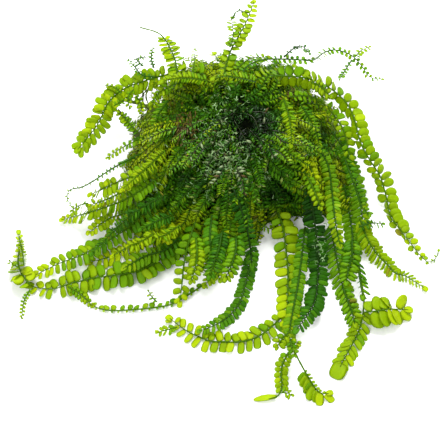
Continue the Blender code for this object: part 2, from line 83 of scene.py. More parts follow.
# Laying the shoots
HALF_THICK = 0.45
STEM_START = 0.3
SAMPLE = 0.5
STEEPEST = 1.05
HIGHEST = 40.0
LOWER_STEP = 0.2
SMOOTH_REACH = 2.0
ACROSS = np.linspace(-1.0, 1.0, 9)
HEAP_CELL = 0.5
HEAP_LOW = np.array([-75.0, -90.0])
HEAP_CELLS = (300, 320)

# Columns of the colour strip: eight tones from black-green to yellow-green, then withered, painted glint and
# stem
TONES = 8
OLD = 8
PALE = 9
STEM = 10
COLUMNS = 11
UV_NAME = "OFBake"


# Shader building


class Value:
    """A node's output that can be used in sums, each of which adds a Math node."""

    def __init__(self, tree: "Tree", socket: bpy.types.NodeSocket) -> None:
        """Keeps the tree and the socket."""
        self.tree = tree
        self.socket = socket

    def _sum(self, operation: str, *values: "Value | float") -> "Value":
        """A Math node over some values."""
        return self.tree.node("ShaderNodeMath", {"operation": operation}, dict(enumerate(values)))

    def __add__(self, other: "Value | float") -> "Value":
        """self + other"""
        return self._sum("ADD", self, other)

    def __radd__(self, other: float) -> "Value":
        """other + self"""
        return self._sum("ADD", other, self)

    def __sub__(self, other: "Value | float") -> "Value":
        """self - other"""
        return self._sum("SUBTRACT", self, other)

    def __rsub__(self, other: float) -> "Value":
        """other - self"""
        return self._sum("SUBTRACT", other, self)

    def __mul__(self, other: "Value | float") -> "Value":
        """self * other"""
        return self._sum("MULTIPLY", self, other)

    def __rmul__(self, other: float) -> "Value":
        """other * self"""
        return self._sum("MULTIPLY", other, self)

    def __truediv__(self, other: "Value | float") -> "Value":
        """self / other"""
        return self._sum("DIVIDE", self, other)

    def __rtruediv__(self, other: float) -> "Value":
        """other / self"""
        return self._sum("DIVIDE", other, self)

    def __abs__(self) -> "Value":
        """The size without its sign."""
        return self._sum("ABSOLUTE", self)

    def floor(self) -> "Value":
        """The whole number below."""
        return self._sum("FLOOR", self)

    def part(self) -> "Value":
        """What is left above the whole number below."""
        return self._sum("FRACT", self)

    def between(self, low: float, high: float) -> "Value":
        """A smooth share from 0 at low to 1 at high.

        Args:
            low: where the share starts; it may lie above high for a falling share.
            high: where it is whole.

        Returns:
            The share, kept within 0 and 1.
        """
        inputs = {"Value": self, "From Min": low, "From Max": high, "To Min": 0.0, "To Max": 1.0}
        return self.tree.node("ShaderNodeMapRange", {"interpolation_type": "SMOOTHSTEP"}, inputs)


class Tree:
    """A material's nodes."""

    def __init__(self, name: str) -> None:
        """Starts an empty material.

        Args:
            name: the material's name.
        """
        self.material = bpy.data.materials.new(name)
        self.material.use_nodes = True
        self.tree = self.material.node_tree
        self.tree.nodes.clear()

    def node(
        self,
        kind: str,
        settings: dict[str, object] | None = None,
        inputs: dict[str | int, object] | None = None,
        output: str | int = 0,
    ) -> Value:
        """Adds a node.

        Args:
            kind: the node's type.
            settings: its own settings, set first; stops is a ramp's list of (place, colour).
            inputs: a value or a link for each socket named.
            output: the socket that the result stands for.

        Returns:
            The output as a value.
        """
        made = self.tree.nodes.new(kind)
        for key, value in (settings or {}).items():
            if key == "stops":
                self._fill_ramp(made.color_ramp, value)
            elif key == "ramp_interpolation":
                made.color_ramp.interpolation = value
            else:
                setattr(made, key, value)
        for key, value in (inputs or {}).items():
            if isinstance(value, Value):
                self.tree.links.new(value.socket, made.inputs[key])
            else:
                made.inputs[key].default_value = value
        return Value(self, made.outputs[output])

    @staticmethod
    def _fill_ramp(ramp: bpy.types.ColorRamp, stops: list[tuple[float, Colour]]) -> None:
        """Sets a ramp's stops.

        Args:
            ramp: the ramp.
            stops: the place and the colour of each stop.
        """
        while len(ramp.elements) < len(stops):
            ramp.elements.new(1.0)
        for element, (place, colour) in zip(ramp.elements, stops):
            element.position = place
            element.color = (*colour, 1.0)

    def mix(
        self,
        share: Value | float,
        first: Value | Colour,
        second: Value | Colour,
        blend: str = "MIX",
    ) -> Value:
        """Two colours mixed.

        Args:
            share: how much of the second, 0 to 1.
            first: the colour at 0.
            second: the colour at 1.
            blend: how they are mixed.

        Returns:
            The mixed colour.
        """
        colours = [value if isinstance(value, Value) else (*value, 1.0) for value in (first, second)]
        inputs = {0: share, 6: colours[0], 7: colours[1]}
        return self.node("ShaderNodeMix", {"data_type": "RGBA", "blend_type": blend}, inputs, output=2)

    def darken(self, colour: Value, share: Value) -> Value:
        """A colour times a grey share."""
        return self.node("ShaderNodeVectorMath", {"operation": "SCALE"}, {0: colour, "Scale": share})

    def places(self) -> Value:
        """Where a point lies on the object, in metres."""
        return self.node("ShaderNodeTexCoord", output="Object")

    def noise(self, scale: float, detail: float = 2.0, stretch: Colour = (1.0, 1.0, 1.0)) -> Value:
        """Soft noise over the object.

        Args:
            scale: lumps to the metre.
            detail: how many finer layers.
            stretch: the scale along each axis.

        Returns:
            The noise, about 0.5.
        """
        place = self.node("ShaderNodeMapping", inputs={"Vector": self.places(), "Scale": stretch})
        return self.node("ShaderNodeTexNoise", inputs={"Vector": place, "Scale": scale, "Detail": detail})

    def finish(self, shader: Value) -> bpy.types.Material:
        """Closes the material.

        Args:
            shader: its surface shader.

        Returns:
            The material.
        """
        out = self.tree.nodes.new("ShaderNodeOutputMaterial")
        self.tree.links.new(shader.socket, out.inputs["Surface"])
        return self.material


def shade(code: str) -> Colour:
    """The linear colour of a screen colour.

    Each channel c of 0 to 1 becomes ((c + 0.055) / 1.055) ** 2.4, or c / 12.92 where it is very dark.

    Args:
        code: the screen colour as six digits.

    Returns:
        The colour.
    """
    channels = [int(code[k : k + 2], 16) / 255 for k in (0, 2, 4)]
    return tuple(c / 12.92 if c < 0.04045 else ((c + 0.055) / 1.055) ** 2.4 for c in channels)


# Finishes

LEAF_STRIP = ("0a1604", "122e05", "1c4706", "2e6406", "4a8206", "6c9c05", "8fae05", "aec406")


@dataclass(frozen=True)
class LeafFinish:
    """A thin damp leaf, which light shines through.

    glow is the colour of the light that comes through and glow_share its part. old, pale and stem
    are the strip's last three colours: withered leaves, pale leaves that paint glints, and the stem.
    """

    name: str
    slot: str
    glow: str
    glow_share: float
    rough: float
    shine: float
    old: str
    pale: str
    stem: str

    def make(self) -> bpy.types.Material:
        """Makes the strip's tone of each leaf, mottled and finely grained, with painted shade that darkens
        its base, its edges and its tip.

        Returns:
            The material.
        """
        tree = Tree(self.name)
        strip = tree.node("ShaderNodeUVMap", {"uv_map": UV_NAME})
        u = tree.node("ShaderNodeSeparateXYZ", inputs={0: strip}, output="X")
        v = tree.node("ShaderNodeSeparateXYZ", inputs={0: strip}, output="Y")
        place = u * COLUMNS
        column = (place.floor() + 0.5) / COLUMNS
        across = abs(place.part() * 2.0 - 1.0)
        codes = (*LEAF_STRIP, self.old, self.pale, self.stem)
        stops = [(k / COLUMNS, shade(code)) for k, code in enumerate(codes)]
        ramp = {"ramp_interpolation": "CONSTANT", "stops": stops}
        tone = tree.node("ShaderNodeValToRGB", ramp, {"Fac": column})
        patches = tree.noise(420.0)
        fine = tree.noise(2600.0, 3.0)
        # painted shade along the edges and at the tip of each leaf
        rim = across.between(0.55, 1.0) * 0.18 + v.between(0.8, 1.0) * 0.1
        # painted shade darkens the base; patches and fine are the leaf's own mottling and grain
        light = 0.54 + v.between(0.0, 0.3) * 0.22 + patches * 0.32 + fine * 0.16 - rim
        colour = tree.darken(tone, light)
        yellowed = tree.mix(patches.between(0.5, 0.75) * 0.3, colour, shade("b5b21a"), "SOFT_LIGHT")
        grain = tree.noise(5200.0, 2.0)
        bump = tree.node("ShaderNodeBump", inputs={"Strength": 0.35, "Distance": 0.00006, "Height": grain})
        inputs = {"Base Color": yellowed, "Roughness": self.rough + fine * 0.2 - 0.1, "Normal": bump}
        inputs["Specular IOR Level"] = self.shine
        surface = tree.node("ShaderNodeBsdfPrincipled", inputs=inputs)
        glow = tree.node("ShaderNodeBsdfTranslucent", inputs={"Color": (*shade(self.glow), 1.0)})
        return tree.finish(tree.node("ShaderNodeMixShader", inputs={0: self.glow_share, 1: surface, 2: glow}))


class Leaf(Enum):
    """The leaf finishes, from the youngest growth to the wet heart of the clump."""

    BRIGHT = LeafFinish(
        "liverwort_leaf_young", "moss_bright", "c0dc00", 0.4, 0.48, 0.1, "8f8a20", "a3b84a", "365f0a")
    MID = LeafFinish(
        "liverwort_leaf_grown", "moss_mid", "a0d000", 0.36, 0.44, 0.12, "74701c", "8aa04a", "2a500a")
    DARK = LeafFinish(
        "liverwort_leaf_shaded", "moss_dark", "5a9e00", 0.24, 0.4, 0.09, "57491c", "5f8a4c", "1b380a")
    HEART = LeafFinish(
        "liverwort_leaf_heart", "moss_mat", "64a000", 0.2, 0.28, 0.32, "64522c", "93a676", "26300f")


@dataclass(frozen=True)
class FeltFinish:
    """The dead felt of old shoots under the leaves."""

    name: str = "dead_moss_felt"
    slot: str = "moss_mat"

    def make(self) -> bpy.types.Material:
        """Makes black-green and brown fibres.

        Returns:
            The material.
        """
        tree = Tree(self.name)
        lumps = tree.noise(300.0, 4.0)
        fibres = tree.noise(1900.0, 5.0, (1.0, 1.0, 0.35))
        colour = tree.mix(lumps.between(0.35, 0.7), shade("060b02"), shade("17280a"))
        colour = tree.mix(fibres.between(0.55, 0.75) * 0.5, colour, shade("2c210d"))
        bump = tree.node("ShaderNodeBump", inputs={"Strength": 0.8, "Distance": 0.0005, "Height": fibres})
        inputs = {"Base Color": colour, "Roughness": 0.7 + fibres * 0.25, "Normal": bump}
        inputs["Specular IOR Level"] = 0.08
        return tree.finish(tree.node("ShaderNodeBsdfPrincipled", inputs=inputs))


@dataclass(frozen=True)
class WoodFinish:
    """Dark water-soaked root wood, grown over with a thin green film."""

    name: str = "soaked_root_wood"
    slot: str = "driftwood"

    def make(self) -> bpy.types.Material:
        """Makes long grain, cracks and green patches.

        Returns:
            The material.
        """
        tree = Tree(self.name)
        grain = tree.noise(900.0, 5.0, (0.16, 1.0, 1.0))
        cracks = tree.noise(1500.0, 3.0, (0.08, 1.0, 1.0))
        stain = tree.noise(90.0, 3.0)
        colour = tree.mix(grain.between(0.3, 0.72), shade("18130a"), shade("41341a"))
        colour = tree.mix(stain.between(0.25, 0.55) * 0.8, colour, shade("4b5f0c"))
        colour = tree.mix(cracks.between(0.42, 0.34) * 0.8, colour, shade("141404"))
        height = grain * 0.7 + cracks * 0.6
        bump = tree.node("ShaderNodeBump", inputs={"Strength": 0.7, "Distance": 0.0004, "Height": height})
        inputs = {"Base Color": colour, "Roughness": 0.55 + grain * 0.3, "Normal": bump}
        inputs["Specular IOR Level"] = 0.2
        return tree.finish(tree.node("ShaderNodeBsdfPrincipled", inputs=inputs))


@dataclass(frozen=True)
class ThreadFinish:
    """A thin shoot with its leaves gone, in two colours that change along it."""

    name: str
    slot: str
    first: str
    second: str

    def make(self) -> bpy.types.Material:
        """Makes one colour with stretches of the other.

        Returns:
            The material.
        """
        tree = Tree(self.name)
        along = tree.noise(500.0, 3.0)
        colour = tree.mix(along.between(0.35, 0.7), shade(self.first), shade(self.second))
        inputs = {"Base Color": colour, "Roughness": 0.6 + along * 0.2, "Specular IOR Level": 0.15}
        return tree.finish(tree.node("ShaderNodeBsdfPrincipled", inputs=inputs))


class Thread(Enum):
    """The finishes of leafless shoots, withered and still green, and of pale curls that paint glints."""

    WITHERED = ThreadFinish("withered_stem", "moss_dark", "3a2c0e", "6a5c20")
    GREEN = ThreadFinish("bare_green_stem", "moss_dark", "2c3c06", "64780f")
    PALE = ThreadFinish("bleached_curl", "moss_mat", "44682a", "94b47c")


@dataclass(frozen=True)
class FloorFinish:
    """The white table."""

    name: str = "white_table"

    def make(self) -> bpy.types.Material:
        """Makes matt white with the faintest unevenness.

        Returns:
            The material.
        """
        tree = Tree(self.name)
        cloud = tree.noise(6.0)
        colour = tree.mix(cloud * 0.02, (0.93, 0.93, 0.93), (0.9, 0.9, 0.9))
        inputs = {"Base Color": colour, "Roughness": 0.9}
        return tree.finish(tree.node("ShaderNodeBsdfPrincipled", inputs=inputs))


# Mesh building


@dataclass
class Faces:
    """Closed surfaces being gathered for one piece, in millimetres."""

    corners: list[Array] = field(default_factory=list)
    quads: list[Array] = field(default_factory=list)
    strip: list[Array] = field(default_factory=list)
    count: int = 0

    def add(self, corners: Array, quads: Array, strip: Array) -> None:
        """Adds a surface.

        Args:
            corners: its points (n, 3).
            quads: its faces as four points each (m, 4).
            strip: the place of each face's corners in the colour strip (m, 4, 2).
        """
        self.corners.append(corners.reshape(-1, 3))
        self.quads.append(quads.reshape(-1, 4) + self.count)
        self.strip.append(strip.reshape(-1, 4, 2))
        self.count += len(self.corners[-1])

    def build(self, name: str, finish: bpy.types.Material, slot: str, nodes: tuple[str, ...]) -> None:
        """Makes the piece, in metres, which takes the place of its CAD nodes.

        Args:
            name: the piece's name.
            finish: its material.
            slot: the record's material slot; it is not used.
            nodes: the CAD nodes that it stands for.
        """
        corners = np.concatenate(self.corners) * MM
        quads = np.concatenate(self.quads)
        mesh = bpy.data.meshes.new(name)
        mesh.vertices.add(len(corners))
        mesh.vertices.foreach_set("co", corners.ravel())
        mesh.loops.add(quads.size)
        mesh.loops.foreach_set("vertex_index", quads.ravel().astype(np.int32))
        mesh.polygons.add(len(quads))
        mesh.polygons.foreach_set("loop_start", np.arange(0, quads.size, 4, dtype=np.int32))
        mesh.polygons.foreach_set("use_smooth", np.ones(len(quads), bool))
        mesh.update(calc_edges=True)
        layer = mesh.uv_layers.new(name=UV_NAME)
        layer.data.foreach_set("uv", np.concatenate(self.strip).ravel())
        mesh.validate()
        mesh.materials.append(finish)
        made = bpy.data.objects.new(name, mesh)
        bpy.context.scene.collection.objects.link(made)
        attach(made, "root")
        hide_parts(*nodes)
        log.info("%s: %d faces", name, len(quads))


def in_strip(column: Array | float, across: Array, along: Array) -> Array:
    """Places in the colour strip, where each column holds one tone, kept a little inside its edges.

    Args:
        column: the tone's column.
        across: the place across the leaf, 0 to 1, which goes across the column.
        along: the place along the leaf, 0 to 1, which goes up the strip.

    Returns:
        The place of each corner, as u and v.
    """
    u = (column + 0.06 + 0.88 * across) / COLUMNS
    return np.stack(np.broadcast_arrays(u, 0.02 + 0.96 * along), axis=-1)


def unit(vectors: Array) -> Array:
    """Vectors brought to length 1."""
    return vectors / np.maximum(np.linalg.norm(vectors, axis=-1, keepdims=True), 1e-9)


def travelled(points: Array) -> Array:
    """How far it is along a path to each of its points."""
    return np.concatenate([[0], np.cumsum(np.linalg.norm(np.diff(points, axis=0), axis=1))])


def read_along(at: Array, gone: Array, values: Array) -> Array:
    """What a path's values are at some distances along it."""
    return np.column_stack([np.interp(at, gone, values[:, axis]) for axis in range(values.shape[1])])


def between_levels(points: Array) -> Array:
    """Points kept off the table and under the object's top.

    Below LOW_KNEE the height eases towards CLEAR_OF_TABLE, and above TOP_KNEE towards TOP_LIMIT, by an
    exponential that doesn't cross it.

    Args:
        points: the points, which are changed.

    Returns:
        The same points.
    """
    room = LOW_KNEE - CLEAR_OF_TABLE
    low = CLEAR_OF_TABLE + room * np.exp(np.minimum(points[..., 2] - LOW_KNEE, 0.0) / room)
    points[..., 2] = np.where(points[..., 2] < LOW_KNEE, low, points[..., 2])
    room = TOP_LIMIT - TOP_KNEE
    high = TOP_LIMIT - room * np.exp(np.minimum(TOP_KNEE - points[..., 2], 0.0) / room)
    points[..., 2] = np.where(points[..., 2] > TOP_KNEE, high, points[..., 2])
    return points


@dataclass
class Leaves:
    """Many leaves as arrays: where each is fixed, its three directions, its sizes and its curls.

    base is the middle of a leaf's root. ahead runs along the leaf, across over its width and over out of its
    top. droop, cup, twist and sweep bend it as LeafShape says, and tone is its column in the colour strip.
    """

    base: Array
    ahead: Array
    across: Array
    over: Array
    long: Array
    wide: Array
    droop: Array
    cup: Array
    twist: Array
    sweep: Array
    tone: Array

    @staticmethod
    def join(groups: "list[Leaves]") -> "Leaves":
        """All leaves of some groups as one."""
        names = Leaves.__dataclass_fields__
        return Leaves(*(np.concatenate([getattr(group, name) for group in groups]) for name in names))

    def pick(self, chosen: Array) -> "Leaves":
        """The leaves that a mask chooses."""
        return Leaves(*(getattr(self, name)[chosen] for name in Leaves.__dataclass_fields__))


@dataclass(frozen=True)
class LeafShape:
    """A leaf's outline: rows at shares of its length, with the half width at each as a share of the full.

    columns is how many faces it has across, and thick its thickness.
    """

    rows: tuple[float, ...]
    halves: tuple[float, ...]
    columns: int
    thick: float

    def grow(self, leaves: Leaves, faces: Faces) -> None:
        """Adds the leaves as thin closed shells.

        Along its length a leaf is an arc that bends down by droop radians: x = sin(droop s) / droop and
        z = -(1 - cos(droop s)) / droop. Across, it rises with the square of the place by cup, turns about its
        length by twist s, and leans along the stem by sweep s squared. The underside lies one thickness below
        the top and shares its rim.

        Args:
            leaves: the leaves.
            faces: where they are added.
        """
        rows, columns = len(self.rows), self.columns + 1
        s = np.array(self.rows)[None, :, None]
        side = np.linspace(-1, 1, columns)[None, None, :]
        half = np.array(self.halves)[None, :, None] * side
        long, wide, droop, cup, twist, sweep = (
            value[:, None, None]
            for value in (leaves.long, leaves.wide / 2, leaves.droop, leaves.cup, leaves.twist, leaves.sweep)
        )
        bend = np.where(np.abs(droop) < 1e-3, 1e-3, droop)
        out = (long * np.sin(bend * s) / bend)[..., None]
        down = (long * (np.cos(bend * s) - 1) / bend)[..., None]
        turned = (twist * s)[..., None]
        ahead, across, over = (
            value[:, None, None, :] for value in (leaves.ahead, leaves.across, leaves.over)
        )
        lean = (np.sin(bend * s))[..., None]
        normal = lean * ahead + np.sqrt(1 - lean**2) * over
        sideways_at = np.cos(turned) * across + np.sin(turned) * normal
        normal = np.cos(turned) * normal - np.sin(turned) * across
        reach = (wide * (half + sweep * s**2))[..., None]
        rise = (wide * cup * half**2)[..., None]
        top = leaves.base[:, None, None, :] + out * ahead + down * over + reach * sideways_at + rise * normal
        under = (top - self.thick * normal)[:, 1:-1, 1:-1]
        count = len(leaves.base)
        corners = np.concatenate([top.reshape(count, -1, 3), under.reshape(count, -1, 3)], axis=1)
        grid = np.arange(rows * columns).reshape(rows, columns)
        below = grid.copy()
        inner = np.arange((rows - 2) * (columns - 2)).reshape(rows - 2, columns - 2)
        below[1:-1, 1:-1] = rows * columns + inner
        upper = np.stack([grid[:-1, :-1], grid[1:, :-1], grid[1:, 1:], grid[:-1, 1:]], axis=-1)
        lower = np.stack([below[:-1, :-1], below[:-1, 1:], below[1:, 1:], below[1:, :-1]], axis=-1)
        shell = np.concatenate([upper.reshape(-1, 4), lower.reshape(-1, 4)])
        u = np.broadcast_to((side[0] + 1) / 2, (rows, columns))
        v = np.broadcast_to(s[0], (rows, columns))
        u = np.concatenate([u.ravel(), u[1:-1, 1:-1].ravel()])[shell]
        v = np.concatenate([v.ravel(), v[1:-1, 1:-1].ravel()])[shell]
        quads = shell[None] + corners.shape[1] * np.arange(count)[:, None, None]
        strip = in_strip(leaves.tone[:, None, None], u[None], v[None])
        faces.add(between_levels(corners), quads, strip)


LEAF_ROWS = (0.0, 0.13, 0.36, 0.62, 0.83, 0.95, 1.0)
FROND_LEAF = LeafShape(LEAF_ROWS, (0.64, 0.85, 0.98, 1.0, 0.9, 0.65, 0.28), columns=4, thick=0.1)
ROUND_LEAF = LeafShape(LEAF_ROWS, (0.45, 0.72, 0.97, 0.98, 0.78, 0.48, 0.16), columns=4, thick=0.1)
SPRIG_LEAF = LeafShape((0.0, 0.3, 0.72, 1.0), (0.7, 0.98, 0.92, 0.4), columns=2, thick=0.08)
TUFT_LEAF = LeafShape((0.0, 0.5, 1.0), (0.55, 1.0, 0.4), columns=2, thick=0.08)
ROUND_FROM = 0.76  # a frond's leaves are round from this share of width to length


def join_rings(rings: int, sides: int) -> tuple[Array, Array]:
    """The faces between closed rings of points: u goes round a ring, and v from the first ring to the last.

    Args:
        rings: how many rings there are.
        sides: how many points each has.

    Returns:
        The faces as four points each, and u and v of their corners, from 0 to 1.
    """
    grid = np.arange(rings * sides).reshape(rings, sides)
    after = np.roll(grid, -1, axis=1)
    quads = np.stack([grid[:-1], grid[1:], after[1:], after[:-1]], axis=-1).reshape(-1, 4)
    u = np.arange(sides) / sides
    v = np.arange(rings) / (rings - 1)
    corner_u = np.stack([u, u, u + 1 / sides, u + 1 / sides], axis=-1)[None].repeat(rings - 1, axis=0)
    corner_v = np.stack([v[:-1], v[1:], v[1:], v[:-1]], axis=-1)[:, None].repeat(sides, axis=1)
    return quads, np.stack([corner_u.reshape(-1, 4), corner_v.reshape(-1, 4)], axis=-1)


def grow_stem(path: Array, radii: Array, sides: int, faces: Faces) -> None:
    """Adds a round tapering stem along a path.

    A ring of points at the radius goes round each point of the path, square to it. Past each end comes one
    more, much smaller ring, which quads across it close.

    Args:
        path: the stem's points (n, 3).
        radii: the radius at each.
        sides: how many sides it has, an even number.
        faces: where it is added.
    """
    ahead = unit(np.gradient(path, axis=0))
    start = np.where(np.abs(ahead[:, 2:]) > 0.9, [[1.0, 0.0, 0.0]], [[0.0, 0.0, 1.0]])
    across = unit(np.cross(ahead, start))
    over = np.cross(across, ahead)
    before = path[:1] - ahead[:1] * radii[0] * 0.5
    after = path[-1:] + ahead[-1:] * radii[-1] * 0.8
    path = np.concatenate([before, path, after])
    radii = np.concatenate([[radii[0] * 0.15], radii, [radii[-1] * 0.15]])
    across = np.concatenate([across[:1], across, across[-1:]])
    over = np.concatenate([over[:1], over, over[-1:]])
    turn = 2 * math.pi * np.arange(sides) / sides
    rings = path[:, None] + radii[:, None, None] * (
        np.cos(turn)[None, :, None] * across[:, None] + np.sin(turn)[None, :, None] * over[:, None]
    )
    count = len(path)
    quads, square = join_rings(count, sides)
    caps = []
    cap_square = []
    first = np.arange(sides)
    for order, v in ((first[::-1], 0.0), (first + (count - 1) * sides, 1.0)):
        for k in range(1, sides - 2, 2):
            caps.append([order[0], order[k], order[k + 1], order[k + 2]])
            cap_square.append([(0.1, v), (0.3, abs(v - 0.02)), (0.6, abs(v - 0.03)), (0.9, v)])
    quads = np.concatenate([quads, np.array(caps)])
    square = np.concatenate([square, np.array(cap_square)])
    faces.add(between_levels(rings.reshape(-1, 3)), quads, in_strip(STEM, square[..., 0], square[..., 1]))


# Where things lie


def from_view(across: Array, up: Array, height: Array) -> Array:
    """The points at some heights above the table that show at some places of the front view.

    The line from the eye through the place, on the plane through VIEW_CENTRE square to the view, is cut at
    the height.

    Args:
        across: how far right of the view's middle.
        up: how far above it in the picture.
        height: the heights above the table.

    Returns:
        The points.
    """
    eye = VIEW_CENTRE + VIEW_AWAY * VIEW_TOWARD
    flat = VIEW_CENTRE + across[:, None] * np.array([1.0, 0.0, 0.0]) + up[:, None] * VIEW_UPWARD
    share = (eye[2] - height) / (eye[2] - flat[:, 2])
    return eye + share[:, None] * (flat - eye)


def in_view(points: Array) -> Array:
    """Where points show in the front view.

    It is a point's offset from VIEW_CENTRE to the right and upward in the picture, times VIEW_AWAY over the
    point's distance from the eye along the view.

    Args:
        points: the points.

    Returns:
        How far right of the view's middle and how far above it each shows.
    """
    offset = points - VIEW_CENTRE
    nearer = VIEW_AWAY / (VIEW_AWAY - offset @ VIEW_TOWARD)
    return np.stack([offset[..., 0] * nearer, (offset @ VIEW_UPWARD) * nearer], axis=-1)


def smooth_between(before: Array, first: Array, second: Array, after: Array, t: Array) -> Array:
    """The cubic from first to second that leaves each along the line between its neighbours.

    Args:
        before: what comes before first.
        first: the value at share 0.
        second: the value at share 1.
        after: what comes after second.
        t: the shares.

    Returns:
        The values at the shares.
    """
    square = 2 * before - 5 * first + 4 * second - after
    cube = 3 * first - 3 * second + after - before
    return first + 0.5 * t * ((second - before) + t * (square + t * cube))


def around(values: tuple[float, ...], angle: Array) -> Array:
    """A smooth value at an angle, by the cubic between values at even steps round the circle.

    Args:
        values: the values, from angle 0 on.
        angle: the angles in radians.

    Returns:
        The value at each angle.
    """
    steps = np.asarray(values)
    count = len(steps)
    place = np.mod(angle / (2 * math.pi) * count, count)
    first = np.floor(place).astype(int)
    return smooth_between(*(steps[(first + k) % count] for k in (-1, 0, 1, 2)), place - first)


def mat_height(x: Array, y: Array) -> Array:
    """How high the mat's top lies.

    With s the distance from the middle as a share of the mat's reach that way, it is
    MAT_TOP * (1 - s ** MAT_SWELL) ** MAT_FALL, and low sine waves over x and y that fade out at the rim.

    Args:
        x: the places along X.
        y: the places along Y.

    Returns:
        The height at each place, and -1 outside the mat.
    """
    share = np.hypot(x, y) / around(MAT_REACH, np.arctan2(y, x))
    inside = np.clip(1 - share**MAT_SWELL, 0, 1)
    lumps = np.sin(0.30 * x + 1.3) * np.sin(0.27 * y + 0.4) + 0.7 * np.sin(0.42 * x - 0.22 * y + 2.0)
    return np.where(share < 1, MAT_TOP * inside**MAT_FALL + MAT_LUMP * lumps * (1 - share**4), -1.0)


def spline(points: Array, spacing: float) -> Array:
    """Points at an even spacing along a smooth curve through a route's own points.

    Args:
        points: the route's own points.
        spacing: the distance between the new ones.

    Returns:
        The new points.
    """
    ends = np.vstack([2 * points[0] - points[1], points, 2 * points[-1] - points[-2]])
    t = np.linspace(0, 1, 24, endpoint=False)[:, None]
    runs = [smooth_between(*four, t) for four in zip(ends, ends[1:], ends[2:], ends[3:])]
    path = np.vstack([*runs, points[-1:]])
    gone = travelled(path)
    even = np.linspace(0, gone[-1], max(3, int(round(gone[-1] / spacing)) + 1))
    return read_along(even, gone, path)


def sideways(points: Array) -> Array:
    """The level direction across a route: its direction turned right by a quarter, without its rise.

    Args:
        points: the route's points.

    Returns:
        The direction at each of them.
    """
    ahead = np.gradient(points, axis=0)
    side = np.column_stack([ahead[:, 1], -ahead[:, 0]])
    return side / np.linalg.norm(side, axis=1)[:, None]


def width_along(t: Array) -> Array:
    """A frond's width at a share of its length: it opens evenly, and closes as a square root."""
    opening = STEM_START + (1 - STEM_START) * np.clip(t / 0.25, 0, 1)
    return opening * np.sqrt(np.clip((1 - t) / 0.3, 0, 1))


class Heap:
    """How high everything lies so far, on a grid seen from above."""

    def __init__(self) -> None:
        """Starts with the mat and its tufts."""
        x = HEAP_LOW[0] + HEAP_CELL * np.arange(HEAP_CELLS[0])
        y = HEAP_LOW[1] + HEAP_CELL * np.arange(HEAP_CELLS[1])
        mat = mat_height(*np.meshgrid(x, y, indexing="ij"))
        self.top = np.where(mat > 0, mat + MAT_TUFT, 0.0)
        self.spread()

    def cell(self, places: Array) -> tuple[Array, Array]:
        """The grid's cell of each place."""
        index = np.rint((places - HEAP_LOW) / HEAP_CELL).astype(int)
        return np.clip(index[..., 0], 1, HEAP_CELLS[0] - 2), np.clip(index[..., 1], 1, HEAP_CELLS[1] - 2)

    def height(self, places: Array) -> Array:
        """The highest that anything lies within one cell of each place."""
        return self.near[self.cell(places)]

    def add(self, places: Array, heights: Array) -> None:
        """Lays something over the places, up to the heights."""
        np.maximum.at(self.top, self.cell(places), heights)
        self.spread()

    def spread(self) -> None:
        """Works out the highest within one cell of each cell."""
        self.near = self.top.copy()
        inner = self.near[1:-1, 1:-1]
        for i in range(3):
            for j in range(3):
                shifted = self.top[i : i + HEAP_CELLS[0] - 2, j : j + HEAP_CELLS[1] - 2]
                np.maximum(inner, shifted, out=inner)


# Shoots


@dataclass(frozen=True)
class Foliage:
    """How a shoot is leaved.

    long, wide and step are a leaf's length and width and the distance to the next on its side. tones are
    those of the leaves at the root and at the tip. hang is how far the left and right rows hang below the
    frond's plane, rows is the size of each, lean is how far the leaves point ahead, and tilt how far each is
    turned under the next. The leaves grow from start to full size in the opening share of the route, and
    shrink to end, by power, in its closing share. tip and tip_wide are the size of the last leaf and its
    width as a share of its length. bare and bare_end are the shares with no leaves at the root and the tip,
    old the share of withered leaves and pale that of pale leaves that paint glints. stem is the
    stem's radius and curl how far a leaf bends down. ragged is how much more the leaves differ in how they
    point than on a tidy frond.
    """

    finish: Leaf
    long: float
    wide: float
    step: float
    tones: tuple[float, float]
    hang: tuple[float, float] = (0.1, 0.1)
    rows: tuple[float, float] = (1.0, 1.0)
    lean: float = 0.3
    tilt: float = 0.3
    start: float = 0.7
    opening: float = 0.18
    closing: float = 0.22
    power: float = 0.5
    end: float = 0.45
    tip: float = 0.7
    tip_wide: float = 0.8
    bare: float = 0.0
    bare_end: float = 0.0
    stem: float = 0.25
    curl: float = 0.35
    old: float = 0.008
    pale: float = 0.0
    ragged: float = 1.0


